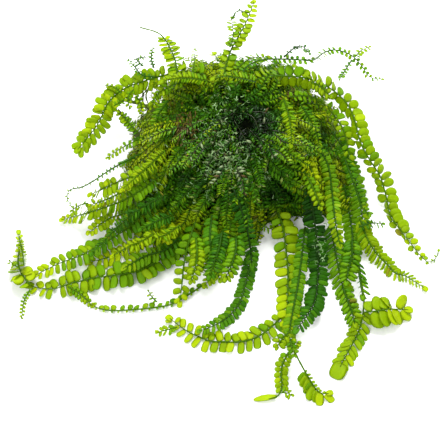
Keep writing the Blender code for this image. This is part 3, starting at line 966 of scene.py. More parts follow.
@dataclass(frozen=True)
class Shoot:
    """A frond or a wiry shoot, with its route.

    The route's points are (across, up, least height) in the front view, or (x, y, least height).
    """

    name: str
    half_width: float
    foliage: Foliage
    route: tuple[tuple[float, float, float], ...]
    in_view: bool = True

    def place(self, across: Array, up: Array, height: Array) -> Array:
        """The route's points at some heights."""
        return from_view(across, up, height) if self.in_view else np.column_stack([across, up, height])

    def footprint(self, points: Array) -> Array:
        """Places across the frond at each of its points."""
        reach = self.half_width * np.maximum(width_along(np.linspace(0, 1, len(points))), 0.25)
        return points[:, None, :2] + sideways(points)[:, None, :] * (reach[:, None] * ACROSS)[..., None]

    def needed(self, heap: Heap, points: Array) -> Array:
        """How high the stem has to be at each point to lie on the heap."""
        return heap.height(self.footprint(points)).max(axis=1) + HALF_THICK + TOUCH_GAP

    def lay(self, heap: Heap) -> Array:
        """Lowers the frond onto the heap, no lower than its route's heights and nowhere too steep.

        It comes down in small steps until each point rests. Then three rounds lift it where the heap needs
        it, limit its fall to STEEPEST, and smooth its heights by a bell curve without lowering any.

        Args:
            heap: what lies there so far, to which the frond is added.

        Returns:
            The stem's points.
        """
        across, up, least = spline(np.array(self.route, float), SAMPLE).T
        least = np.maximum(least, HALF_THICK + TOUCH_GAP)
        height = np.full(len(least), HIGHEST)
        free = np.ones(len(least), bool)
        while free.any():
            lower = np.where(free, height - LOWER_STEP, height)
            need = self.needed(heap, self.place(across, up, lower))
            free &= (lower >= need) & (lower >= least)
            height = np.where(free, lower, height)
        for _ in range(3):
            points = self.place(across, up, height)
            gone = travelled(points[:, :2])
            apart = np.abs(gone[:, None] - gone[None, :])
            height = np.maximum(height, self.needed(heap, points))
            height = (height[None, :] - STEEPEST * apart).max(axis=1)
            near = np.exp(-0.5 * (apart / SMOOTH_REACH) ** 2)
            height = np.maximum(height, (near @ height) / near.sum(axis=1))
        points = self.place(across, up, height)
        feet = self.footprint(points)
        heap.add(feet, np.broadcast_to(points[:, 2:] + HALF_THICK, feet.shape[:2]))
        return points


BRIGHT = Foliage(Leaf.BRIGHT, 2.4, 1.6, 1.8, (5.2, 6.8))
MID = Foliage(Leaf.MID, 2.4, 1.5, 1.7, (3.6, 5.8))
DARK = Foliage(Leaf.DARK, 2.3, 1.1, 1.15, (2.2, 3.8), curl=0.6, old=0.0, pale=0.015)
COMB = Foliage(Leaf.MID, 2.2, 1.0, 1.05, (3.2, 5.2), tilt=0.5, lean=0.35, curl=0.5)
WIRY = Foliage(Leaf.MID, 0.8, 0.6, 1.3, (3.4, 5.0), stem=0.22)
SMALL = Foliage(Leaf.BRIGHT, 1.3, 1.0, 1.2, (4.8, 6.4), stem=0.18)
FINE = Foliage(
    Leaf.MID, 1.9, 0.65, 0.62, (3.8, 5.2), lean=0.45, tilt=0.4, curl=0.5, closing=0.5, power=0.7, end=0.35,
    stem=0.15, ragged=2.4)

# In the order in which they are laid, the lowest first
SHOOTS = (
    # down the back of the mat, out of sight in the front view
    Shoot("back_left_low_frond", 2.4, MID, (
        (-8.0, 10.5, 0), (-12.0, 15.0, 0), (-14.5, 18.5, 0), (-16.0, 21.5, 0)), in_view=False),
    Shoot("back_low_frond", 2.4, BRIGHT, (
        (-0.5, 12.5, 0), (-2.5, 17.0, 0), (-4.5, 21.5, 0), (-5.5, 25.0, 0)), in_view=False),
    Shoot("back_right_low_frond", 2.4, MID, (
        (8.0, 12.0, 0), (11.0, 16.5, 0), (13.5, 19.5, 0), (15.5, 21.5, 0)), in_view=False),
    # left, on the table
    Shoot("left_hook_frond", 1.5, replace(
        BRIGHT, long=1.5, wide=1.6, step=1.85, tones=(4.4, 6.2), rows=(0.4, 1.0), lean=0.15), (
        (-4.6, -15.1, 0), (-10.9, -19.1, 0), (-14.6, -20.6, 0), (-23.4, -21.6, 0), (-29.6, -21.6, 0),
        (-33.9, -19.9, 0), (-37.7, -17.1, 0))),
    Shoot("left_under_frond", 2.5, replace(
        BRIGHT, long=2.6, wide=1.6, step=1.7, tones=(6.0, 7.0)), (
        (-15.9, 1.4, 0), (-19.4, -2.1, 0), (-23.4, -5.9, 0), (-27.9, -8.1, 0), (-34.5, -10.0, 0))),
    Shoot("left_low_frond", 3.8, replace(
        BRIGHT, long=3.75, wide=2.35, step=1.95, tones=(4.6, 6.4), rows=(0.92, 1.05), lean=0.15, closing=0.35,
        old=0.0), (
        (-9.6, -2.9, 0), (-14.6, -7.9, 0), (-18.4, -10.6, 0), (-23.4, -12.4, 0), (-30.9, -13.4, 0),
        (-34.6, -14.1, 0), (-38.4, -15.1, 0), (-43.4, -16.4, 0), (-49.6, -15.3, 0))),
    Shoot("speckled_frond", 2.2, replace(
        COMB, long=2.3, wide=1.2, step=1.1, tones=(3.4, 6.0), old=0.05), (
        (-10.9, -3.4, 0), (-14.6, -6.6, 0), (-19.6, -8.2, 0), (-25.5, -11.5, 0))),
    Shoot("left_long_frond", 2.9, replace(
        BRIGHT, long=3.0, wide=1.7, step=1.45, tones=(3.0, 6.6), rows=(0.85, 1.0), closing=0.3, end=0.6), (
        (-14.4, 7.4, 0), (-18.4, 4.1, 0), (-23.9, -1.1, 0), (-30.9, -5.4, 0), (-35.9, -8.1, 0),
        (-40.9, -9.9, 0), (-47.9, -13.3, 0))),
    Shoot("left_tip_frond", 3.2, replace(
        BRIGHT, long=3.4, wide=3.2, step=1.7, tones=(6.4, 7.0), closing=0.7, power=3.0, end=0.3, tip=0.5), (
        (-48.4, -15.3, 0), (-50.4, -12.6, 0), (-51.4, -9.6, 0), (-50.9, -5.6, 0), (-51.3, -1.6, 0))),
    Shoot("left_tip_thread", 0.8, replace(
        SMALL, long=0.8, wide=0.7, step=0.9), (
        (-48.4, -16.5, 0), (-49.9, -19.6, 0), (-50.5, -23.8, 0))),
    Shoot("left_middle_lower_frond", 1.9, replace(
        BRIGHT, long=2.0, wide=1.35, step=1.1, tones=(4.8, 6.6)), (
        (-19.9, 5.6, 0), (-24.6, 2.6, 0), (-28.9, 1.1, 0), (-34.2, -2.7, 0))),
    Shoot("left_middle_frond", 1.9, replace(
        BRIGHT, long=2.3, wide=1.5, step=1.05, tones=(4.6, 6.6), lean=0.3), (
        (-17.1, 10.9, 0), (-22.1, 7.4, 0), (-25.9, 5.4, 0), (-30.9, 3.6, 0), (-35.9, 2.1, 0),
        (-41.0, 0.8, 0))),
    Shoot("left_middle_upper_frond", 2.2, replace(
        BRIGHT, long=2.4, wide=1.5, step=1.25, tones=(5.0, 6.6)), (
        (-16.9, 14.6, 0), (-22.1, 12.1, 0), (-27.1, 10.1, 0), (-34.0, 6.9, 0))),
    Shoot("left_wiry_shoot", 0.7, replace(
        WIRY, long=0.7, wide=0.55, tones=(3.0, 6.0)), (
        (-20.9, 17.4, 4), (-23.9, 15.9, 6), (-28.4, 13.4, 7), (-32.1, 10.9, 7), (-35.4, 9.1, 6),
        (-38.4, 8.4, 5), (-39.1, 6.4, 4), (-37.9, 4.1, 3))),
    Shoot("left_short_sprig", 1.2, replace(
        SMALL, long=1.2, wide=0.9, step=1.1, tones=(4.0, 6.4)), (
        (-19.4, 22.1, 0), (-22.1, 20.6, 7), (-25.9, 18.6, 7), (-29.4, 16.2, 6.5))),
    # bottom, on the table
    Shoot("bottom_sweep_frond", 3.0, replace(
        BRIGHT, long=3.0, wide=1.9, step=2.05, tones=(6.0, 7.0), lean=0.25), (
        (15.1, -22.9, 0), (11.1, -26.6, 0), (7.9, -28.6, 0), (4.1, -29.6, 0), (0.4, -29.6, 0),
        (-3.4, -29.4, 0), (-5.9, -28.4, 0), (-9.6, -26.6, 0), (-14.2, -23.1, 0))),
    Shoot("bottom_tip_sprig", 1.4, replace(
        SMALL, long=1.6, wide=0.9, lean=0.6), (
        (-11.6, -25.9, 0), (-14.1, -26.6, 0), (-17.0, -27.3, 0))),
    Shoot("bottom_feeder_frond", 2.0, replace(
        COMB, long=2.1, wide=1.15, step=1.15, tones=(2.8, 5.0)), (
        (7.4, -6.1, 0), (6.6, -10.4, 0), (5.4, -15.4, 0), (4.1, -19.6, 0), (1.6, -22.9, 0), (-2.1, -25.4, 0),
        (-6.5, -27.0, 0))),
    Shoot("centre_left_frond", 2.5, replace(
        BRIGHT, long=2.5, wide=1.75, step=2.3, tones=(4.4, 6.8), lean=0.15), (
        (-7.1, 0.4, 0), (-8.9, -5.4, 0), (-9.9, -10.4, 0), (-10.4, -15.4, 0), (-11.0, -20.8, 0))),
    Shoot("centre_middle_frond", 2.4, replace(
        BRIGHT, long=2.0, wide=1.15, step=1.1, tones=(4.0, 6.2)), (
        (1.9, 1.1, 0), (1.1, -4.1, 0), (-0.9, -9.6, 0), (-5.0, -16.1, 0))),
    Shoot("centre_short_frond", 2.4, replace(
        MID, long=2.0, wide=1.1, step=1.1, tones=(3.8, 6.0)), (
        (-2.9, 2.1, 0), (-3.4, -4.1, 0), (-2.4, -9.6, 0), (-0.7, -14.7, 0))),
    Shoot("centre_drape_frond", 2.2, replace(
        DARK, long=2.2), (
        (2.6, 8.4, 0), (4.9, 1.9, 0), (6.4, -4.1, 0), (7.2, -11.2, 0))),
    Shoot("cross_sprig", 1.3, SMALL, (
        (9.4, -0.4, 0), (12.1, -1.4, 0), (15.3, -1.0, 0))),
    # bottom right
    Shoot("right_low_column_frond", 2.3, replace(
        COMB, long=2.3, wide=1.25, step=1.15, tones=(4.2, 5.8)), (
        (30.1, 9.6, 0), (31.6, 1.9, 0), (32.4, -4.6, 0), (33.0, -11.5, 0))),
    Shoot("right_low_stem_frond", 2.7, replace(
        COMB, long=3.1, wide=1.05, step=1.25, tones=(3.8, 5.8), lean=0.6, tilt=0.3), (
        (26.6, 0.4, 0), (27.9, -6.6, 0), (29.1, -12.9, 0), (30.6, -17.9, 0), (33.4, -22.7, 0))),
    Shoot("right_tail_frond", 3.0, replace(
        BRIGHT, long=3.1, wide=1.4, step=1.5, tones=(5.4, 6.4), lean=0.6, tip=1.4, tip_wide=0.95, bare=0.42,
        start=0.8, closing=0.06, end=0.8), (
        (33.8, -9.6, 0), (34.4, -14.1, 0), (35.1, -19.1, 0), (34.6, -24.1, 0), (33.4, -27.9, 0),
        (31.4, -31.6, 0), (29.9, -34.4, 0), (28.1, -38.1, 0))),
    Shoot("right_leafy_frond", 4.0, replace(
        BRIGHT, long=4.1, wide=3.6, step=2.0, tones=(6.0, 6.8), tilt=0.25, start=0.85, closing=0.2, end=0.5,
        lean=0.3, tip=0.6), (
        (35.6, -22.1, 0), (38.4, -21.9, 0), (41.4, -21.4, 0), (47.2, -21.6, 0))),
    Shoot("central_fall_frond", 3.5, replace(
        BRIGHT, long=3.3, wide=2.25, step=2.35, tones=(5.6, 6.8), rows=(1.12, 0.95), lean=0.12, curl=0.2), (
        (13.6, 2.9, 0), (14.9, -1.1, 0), (15.6, -6.6, 0), (16.1, -11.6, 0), (16.1, -19.1, 0),
        (16.1, -28.2, 0))),
    Shoot("central_stem_frond", 1.9, replace(
        COMB, long=1.9, wide=1.1, step=1.0, tones=(3.9, 5.6)), (
        (20.4, -0.9, 0), (19.6, -7.9, 0), (18.6, -15.4, 0), (17.4, -21.6, 0), (16.6, -26.6, 0),
        (17.0, -31.9, 0))),
    Shoot("fork_left_frond", 1.9, replace(
        BRIGHT, long=1.8, wide=1.5, step=1.2, tones=(5.2, 6.6), tip=3.2, tip_wide=0.3, bare_end=0.4,
        closing=0.1, end=0.8), (
        (16.3, -32.2, 0), (14.8, -35.1, 0), (14.4, -38.1, 0), (14.6, -40.9, 0), (13.6, -43.1, 0),
        (11.1, -43.9, 0), (8.4, -43.7, 0))),
    Shoot("fork_right_frond", 2.7, replace(
        BRIGHT, long=3.2, wide=2.3, step=1.0, tones=(5.4, 6.6), bare=0.34, rows=(0.3, 1.0), lean=0.5, tip=0.6,
        end=0.6), (
        (17.8, -32.2, 0), (19.6, -35.6, 0), (21.6, -39.1, 0), (23.5, -41.8, 0), (25.4, -42.7, 0),
        (27.2, -42.1, 0))),
    Shoot("dark_glossy_frond", 2.8, replace(
        DARK, long=2.9, wide=1.2, step=0.95, tones=(1.6, 3.8), curl=1.0, tilt=0.5), (
        (21.1, 9.6, 0), (22.1, 4.6, 0), (22.9, -0.4, 0), (23.6, -6.6, 0), (23.6, -12.9, 0), (22.9, -19.1, 0),
        (20.6, -23.4, 0), (17.7, -27.3, 0))),
    # right
    Shoot("right_inner_frond", 1.9, replace(
        MID, long=1.9, wide=1.1, step=1.1, tones=(4.6, 6.0)), (
        (22.9, 20.1, 0), (26.1, 14.6, 0), (27.1, 7.9, 0), (27.9, 0.9, 0), (29.3, -6.2, 0))),
    Shoot("right_column_frond", 2.3, replace(
        COMB, long=2.3, wide=1.2, step=1.1, tones=(4.2, 5.7)), (
        (27.1, 22.9, 0), (30.6, 17.9, 0), (32.6, 12.1, 0), (33.9, 7.1, 0), (34.6, 2.1, 0), (35.8, -4.5, 0))),
    Shoot("right_trailing_frond", 2.3, replace(
        COMB, finish=Leaf.BRIGHT, long=2.8, wide=1.15, step=0.95, tones=(5.4, 6.6), lean=0.6, closing=0.6,
        power=1.0, end=0.35, tip=0.6), (
        (34.1, 1.1, 0), (36.1, -4.1, 0), (38.6, -7.9, 0), (41.1, -10.4, 0), (42.9, -12.4, 0),
        (45.4, -13.1, 0), (47.9, -14.6, 0), (50.9, -16.6, 0))),
    Shoot("right_second_frond", 2.3, replace(
        BRIGHT, long=2.3, wide=1.7, step=1.8, tones=(5.0, 5.6), rows=(1.0, 0.7)), (
        (16.6, 31.6, 0), (20.6, 31.9, 12), (24.4, 30.4, 11), (27.6, 27.1, 10), (29.6, 24.1, 9),
        (30.9, 20.1, 7), (31.7, 13.5, 5))),
    Shoot("right_arch_frond", 2.8, replace(
        BRIGHT, long=2.8, wide=2.4, step=1.9, tones=(5.6, 6.3), hang=(-0.1, 1.0), rows=(1.05, 1.0),
        start=0.95, closing=0.2, power=1.6, end=0.24, lean=0.15, tip=0.35), (
        (6.6, 35.4, 0), (9.6, 36.4, 17), (14.1, 36.9, 16), (19.1, 36.6, 15), (23.6, 35.4, 14),
        (27.9, 32.9, 13), (30.9, 29.9, 12), (32.6, 26.4, 10), (33.9, 21.4, 8), (35.1, 18.4, 7),
        (36.9, 15.4, 5), (39.1, 11.9, 4), (40.6, 7.1, 2), (41.6, 2.1, 0), (43.4, -0.6, 0), (47.1, -5.4, 0),
        (49.1, -7.9, 0), (51.1, -9.6, 0), (52.9, -8.9, 0), (53.9, -6.4, 0))),
    # left and top
    Shoot("left_arch_frond", 2.9, replace(
        BRIGHT, long=3.0, wide=1.9, step=1.4, tones=(5.6, 6.5), hang=(0.3, -0.3), start=0.95, opening=0.1,
        closing=0.06, end=0.8, lean=0.4, old=0.0), (
        (-4.6, 37.1, 15), (-9.6, 38.1, 14), (-14.6, 37.1, 14), (-18.9, 35.9, 13), (-23.4, 34.4, 12),
        (-26.4, 32.6, 12), (-28.9, 30.1, 11), (-30.1, 27.6, 10), (-31.6, 24.6, 8), (-33.9, 21.6, 6),
        (-37.0, 17.8, 5))),
    Shoot("upper_left_frond", 2.2, replace(
        BRIGHT, long=2.4, wide=1.6, step=1.05, tones=(5.4, 6.4), bare_end=0.3, tip=0.25, start=0.9), (
        (-10.6, 34.4, 0), (-11.6, 38.1, 20), (-12.1, 40.9, 21), (-13.4, 43.9, 21.5), (-14.9, 46.4, 21.5),
        (-16.9, 47.9, 21), (-20.8, 49.0, 20))),
    Shoot("top_frond", 1.9, replace(
        BRIGHT, long=2.2, wide=1.9, step=1.5, tones=(5.4, 6.6), lean=0.5), (
        (-0.4, 35.4, 0), (0.9, 40.4, 23), (2.1, 43.9, 24), (4.1, 47.4, 25), (5.9, 50.9, 25.5),
        (7.8, 55.9, 25.5))),
    Shoot("top_side_sprig", 1.3, replace(
        SMALL, long=1.4, wide=0.9, step=1.1), (
        (1.6, 44.1, 0), (2.4, 47.1, 25), (2.0, 51.8, 25))),
    Shoot("top_leafy_sprig", 1.6, replace(
        BRIGHT, long=1.7, wide=1.4, step=1.2, tones=(4.8, 5.8)), (
        (3.1, 38.4, 0), (5.6, 40.6, 20), (8.1, 41.6, 20), (11.8, 41.3, 19))),
    Shoot("upright_back_sprig", 0.9, replace(
        SMALL, long=0.9, wide=0.6, step=0.8), (
        (-7.6, 37.4, 0), (-7.3, 40.1, 21), (-7.1, 43.8, 22))),
    Shoot("back_left_sprig", 0.9, replace(
        WIRY, long=0.9, wide=0.7, step=1.0, tones=(3.0, 4.8)), (
        (-17.1, 36.6, 14), (-20.4, 37.1, 14), (-22.1, 39.1, 14), (-23.9, 41.1, 14))),
    Shoot("top_wiry_shoot", 1.2, replace(
        WIRY, long=1.2, wide=0.95, step=1.35, tones=(4.2, 5.6)), (
        (4.4, 36.9, 16), (5.9, 39.4, 14), (9.6, 40.9, 12), (15.4, 41.1, 11), (19.4, 40.9, 10),
        (22.6, 40.9, 10), (24.9, 42.6, 10), (27.6, 43.4, 10), (30.9, 42.6, 9), (33.1, 41.1, 8),
        (35.1, 38.6, 7), (36.6, 36.6, 6), (40.1, 36.0, 5))),
    Shoot("top_loop_shoot", 0.9, replace(
        WIRY, finish=Leaf.DARK, tones=(3.0, 4.2)), (
        (15.1, 41.6, 0), (17.1, 43.4, 13), (19.6, 44.4, 13), (21.7, 42.1, 12))),
    Shoot("top_far_branch", 0.8, replace(
        WIRY, tones=(4.2, 5.4)), (
        (32.1, 40.9, 0), (30.6, 38.6, 7), (28.9, 35.8, 6))),
    Shoot("top_far_leaf", 1.1, replace(
        SMALL, long=1.2, wide=1.0), (
        (33.1, 41.9, 0), (34.6, 43.4, 9), (36.9, 44.3, 9))),
)

# Small shoots on the mat and between the fronds, with no solid of their own
SPRIGS = (
    # at the fork of the bottom fronds, laid first so that it lies low
    Shoot("sprig", 1.7, replace(BRIGHT, long=1.8, wide=1.3, step=1.2, tones=(5.2, 6.4)), (
        (16.4, -27.1, 0), (14.4, -29.1, 0), (13.1, -31.6, 0))),
    # twiglets and thin fronds on the mat and along the fronds
    Shoot("sprig", 0.7, replace(WIRY, long=0.7, step=0.9), (
        (-20.1, 39.4, 13), (-21.9, 41.1, 13), (-19.4, 41.6, 13))),
    Shoot("sprig", 0.7, replace(WIRY, long=0.6, step=0.9), (
        (-17.4, 38.9, 13), (-18.1, 41.4, 14), (-17.6, 44.1, 15))),
    Shoot("sprig", 0.7, replace(SMALL, long=0.8, step=0.9), (
        (-25.4, 32.6, 12), (-27.6, 34.1, 12), (-29.6, 34.6, 12))),
    Shoot("sprig", 0.8, replace(SMALL, long=1.1, wide=0.8), (
        (-27.4, 29.4, 9), (-24.4, 31.1, 10), (-21.6, 31.6, 11))),
    Shoot("sprig", 1.2, replace(SMALL, long=1.5, wide=1.0, step=0.85, tones=(4.4, 5.8)), (
        (-21.4, 22.6, 0), (-23.9, 25.4, 0), (-26.6, 28.1, 0))),
    Shoot("sprig", 0.8, replace(SMALL, long=1.0, wide=0.8), (
        (-22.6, 33.4, 11), (-23.9, 31.4, 10), (-23.4, 28.6, 9))),
    Shoot("sprig", 0.8, replace(SMALL, long=0.9, wide=0.7), (
        (-16.6, -19.6, 0), (-17.9, -18.4, 0), (-18.9, -16.6, 0))),
    Shoot("sprig", 1.2, replace(COMB, long=1.4, wide=0.8), (
        (33.9, -0.9, 0), (36.9, 0.1, 2), (40.4, -0.1, 2))),
    Shoot("sprig", 1.6, replace(COMB, long=2.6, wide=0.8, step=1.4, rows=(1.0, 0.3), lean=0.7), (
        (33.5, -9.6, 0), (34.1, -14.1, 0), (34.9, -19.1, 0))),
    Shoot("sprig", 1.2, replace(SMALL, long=1.6, wide=1.2), (
        (16.6, -31.0, 0), (17.9, -29.9, 0), (19.4, -29.7, 0))),
    Shoot("sprig", 0.8, replace(SMALL, long=1.4, wide=0.8), (
        (14.4, -42.3, 0), (16.1, -42.4, 0), (17.6, -43.1, 0))),
    Shoot("sprig", 1.0, replace(SMALL, long=1.2, wide=0.9, step=0.9, tones=(4.0, 5.2)), (
        (16.9, -29.4, 0), (17.2, -31.4, 0), (18.1, -33.4, 0))),
    Shoot("sprig", 0.6, replace(WIRY, long=0.5, wide=0.4, step=1.7, tones=(3.0, 4.0), stem=0.2), (
        (2.0, 51.2, 25), (3.6, 53.3, 25.4), (6.4, 52.6, 25.4))),
    Shoot("sprig", 0.8, replace(SMALL, long=1.0, wide=0.8), (
        (-50.9, -11.1, 0), (-52.9, -10.1, 0), (-53.6, -9.1, 0))),
    Shoot("sprig", 0.9, replace(SMALL, long=0.9, wide=0.8, step=0.65, tones=(5.6, 6.4)), (
        (-49.9, -10.4, 0), (-50.2, -7.4, 0), (-51.1, -3.4, 0))),
    # between the fronds, where the growth is thick and no single shoot can be told apart
    Shoot("sprig", 2.2, replace(COMB, long=2.4, wide=0.95, step=0.8, tones=(2.6, 4.2)), (
        (-0.4, -2.1, 0), (-1.1, -6.1, 0), (-2.4, -10.1, 0), (-3.9, -14.1, 0))),
    Shoot("sprig", 2.2, replace(COMB, long=2.4, wide=1.3, step=1.1, tones=(4.2, 5.6)), (
        (3.1, -3.1, 0), (3.1, -6.6, 0), (2.1, -10.1, 0), (0.1, -14.6, 0))),
    Shoot("sprig", 1.9, replace(BRIGHT, long=2.0, wide=1.3, step=1.1, tones=(5.4, 6.0)), (
        (-6.9, -3.6, 0), (-6.6, -7.6, 0), (-7.1, -11.1, 0), (-8.4, -15.1, 0))),
    Shoot("sprig", 2.4, replace(COMB, long=2.6, wide=1.2, step=1.1, tones=(4.0, 5.4)), (
        (32.1, -4.1, 0), (32.1, -8.1, 0), (31.1, -12.1, 0), (30.6, -15.6, 0))),
    Shoot("sprig", 2.3, replace(COMB, long=2.6, wide=1.2, step=1.1, tones=(4.4, 5.8), lean=0.6), (
        (29.9, -16.1, 0), (30.9, -19.1, 0), (32.1, -22.1, 0), (33.1, -26.1, 0))),
    Shoot("sprig", 1.5, replace(BRIGHT, long=1.6, wide=1.1, step=1.0, tones=(5.4, 6.6)), (
        (-25.4, 7.9, 0), (-27.9, 6.6, 0), (-30.9, 5.4, 0), (-33.9, 4.4, 0))),
    Shoot("sprig", 1.1, replace(SMALL, long=1.3, wide=1.0, step=1.0), (
        (-38.9, -15.9, 0), (-36.9, -16.9, 0), (-34.4, -18.9, 0), (-32.4, -20.9, 0))),
    Shoot("sprig", 1.9, replace(BRIGHT, long=2.1, wide=1.6, step=1.2, tones=(6.8, 7.0)), (
        (-14.4, 0.4, 0), (-13.9, -2.1, 0), (-13.9, -5.1, 0))),
    Shoot("sprig", 1.6, replace(BRIGHT, long=1.8, wide=1.4, step=1.1, tones=(6.8, 7.0)), (
        (21.1, 15.9, 0), (22.1, 12.9, 0), (23.1, 9.4, 0))),
    Shoot("sprig", 0.9, replace(SMALL, long=1.2, wide=0.9, step=0.9), (
        (-15.9, 33.4, 0), (-16.9, 30.9, 0), (-18.4, 28.4, 0))),
    Shoot("sprig", 0.9, replace(SMALL, long=1.1, wide=0.9, step=0.9), (
        (-21.9, 31.9, 10), (-20.6, 29.9, 9), (-20.9, 27.4, 8))),
    Shoot("sprig", 1.5, replace(BRIGHT, long=1.8, wide=1.3, step=1.1, tones=(5.2, 6.2)), (
        (22.1, 35.4, 12), (24.6, 33.9, 12), (27.1, 31.4, 11))),
    Shoot("sprig", 1.0, replace(SMALL, long=1.2, wide=0.9, step=0.9), (
        (-33.9, 5.1, 0), (-36.4, 4.4, 0), (-38.4, 2.9, 0))),
    # left side of the mat, the lowest first, with a bright one over them at last
    Shoot("sprig", 1.8, replace(FINE, finish=Leaf.BRIGHT, long=2.2, tones=(5.4, 6.6)), (
        (-10.9, -0.4, 0), (-14.6, -2.9, 0), (-19.6, -4.1, 0), (-24.6, -5.9, 0))),
    Shoot("sprig", 1.7, replace(FINE, long=2.1, step=0.5, tones=(3.0, 4.4)), (
        (-12.6, 2.1, 0), (-16.6, 0.6, 0), (-21.4, -1.9, 0))),
    Shoot("sprig", 1.7, replace(FINE, long=2.1, step=0.5, tones=(2.8, 4.0)), (
        (-14.6, 7.1, 0), (-22.1, 2.9, 0), (-28.4, -2.9, 0), (-33.4, -8.1, 0))),
    Shoot("sprig", 1.8, replace(FINE, finish=Leaf.BRIGHT, long=2.2, tones=(5.6, 6.6)), (
        (-14.6, 18.4, 0), (-18.4, 14.6, 0), (-22.1, 11.4, 0), (-25.9, 7.9, 0))),
    Shoot("sprig", 1.5, replace(FINE, tones=(4.2, 5.4)), (
        (-13.4, 30.9, 0), (-15.9, 27.9, 0), (-17.1, 23.9, 0), (-18.4, 20.4, 0))),
    Shoot("sprig", 1.9, replace(FINE, finish=Leaf.BRIGHT, long=2.2, wide=1.0, step=0.8, tones=(6.0, 6.8)), (
        (-17.4, -2.6, 0), (-20.9, -4.6, 0), (-24.9, -6.4, 0), (-28.4, -8.6, 0))),
    # crest of the mat
    Shoot("sprig", 1.5, replace(FINE, finish=Leaf.BRIGHT, wide=1.0, step=1.0, tones=(5.0, 6.0)), (
        (-10.4, 35.4, 0), (-13.9, 34.1, 0), (-16.9, 31.9, 6), (-18.6, 29.4, 8))),
    Shoot("sprig", 2.2, replace(
        FINE, finish=Leaf.BRIGHT, long=2.9, wide=1.2, step=0.75, tones=(5.2, 6.2), rows=(0.5, 1.0),
        ragged=1.2), (
        (-3.9, 35.6, 0), (-8.6, 36.3, 0), (-12.6, 36.1, 0), (-16.4, 35.1, 0))),
    Shoot("sprig", 2.0, replace(FINE, long=2.6, wide=1.0, step=0.75, tones=(4.8, 5.8), rows=(0.4, 1.0)), (
        (8.1, 35.9, 0), (4.1, 36.9, 0), (0.4, 36.9, 0), (-3.4, 35.9, 0))),
    # right side of the mat
    Shoot("sprig", 1.6, replace(FINE, finish=Leaf.BRIGHT, tones=(5.0, 6.0)), (
        (14.9, 31.4, 0), (16.1, 27.6, 0), (16.9, 23.4, 0), (16.9, 18.9, 0))),
    Shoot("sprig", 1.6, replace(FINE, tones=(4.4, 5.6)), (
        (19.1, 29.9, 0), (21.6, 25.9, 0), (23.4, 22.1, 0), (24.1, 17.6, 0))),
    Shoot("sprig", 1.4, replace(BRIGHT, long=1.6, wide=1.1, step=1.2, tones=(5.0, 6.2)), (
        (20.6, 12.6, 0), (22.1, 9.4, 0), (23.4, 6.4, 0), (24.6, 3.4, 0))),
    Shoot("sprig", 1.8, replace(COMB, long=2.1, wide=1.0, step=1.2, tones=(3.4, 4.8), rows=(1.0, 0.5)), (
        (30.4, 15.9, 0), (32.6, 9.9, 0), (34.4, 4.6, 0), (36.6, 1.9, 0))),
)

# Limbs of the driftwood: points from the trunk to the tip, and the radius at each
LIMBS = {
    "driftwood_left_limb": (
        ((-12, 5, 8), (-18, 8, 8.6), (-23.2, 10.6, 9.6), (-27.8, 11.4, 10.6), (-31.2, 11.8, 11.2)),
        (2.2, 1.1, 0.6, 0.42, 0.32)),
    "driftwood_left_twig": (
        ((-14, -1, 7.5), (-20, 0.4, 7.6), (-24.5, 2.3, 8.8), (-27.3, 5.6, 9.8), (-29.6, 8.6, 10.6)),
        (2.1, 1.2, 0.75, 0.5, 0.32)),
    "driftwood_back_root": (
        ((6, 9, 4), (10, 14, 4.6), (13, 18.5, 3.6), (16, 22.5, 2.4)),
        (4.0, 3.0, 2.1, 1.3)),
}
LIMB_CLEAR = 1.15  # a limb's thickness in the heap, as a share of its own


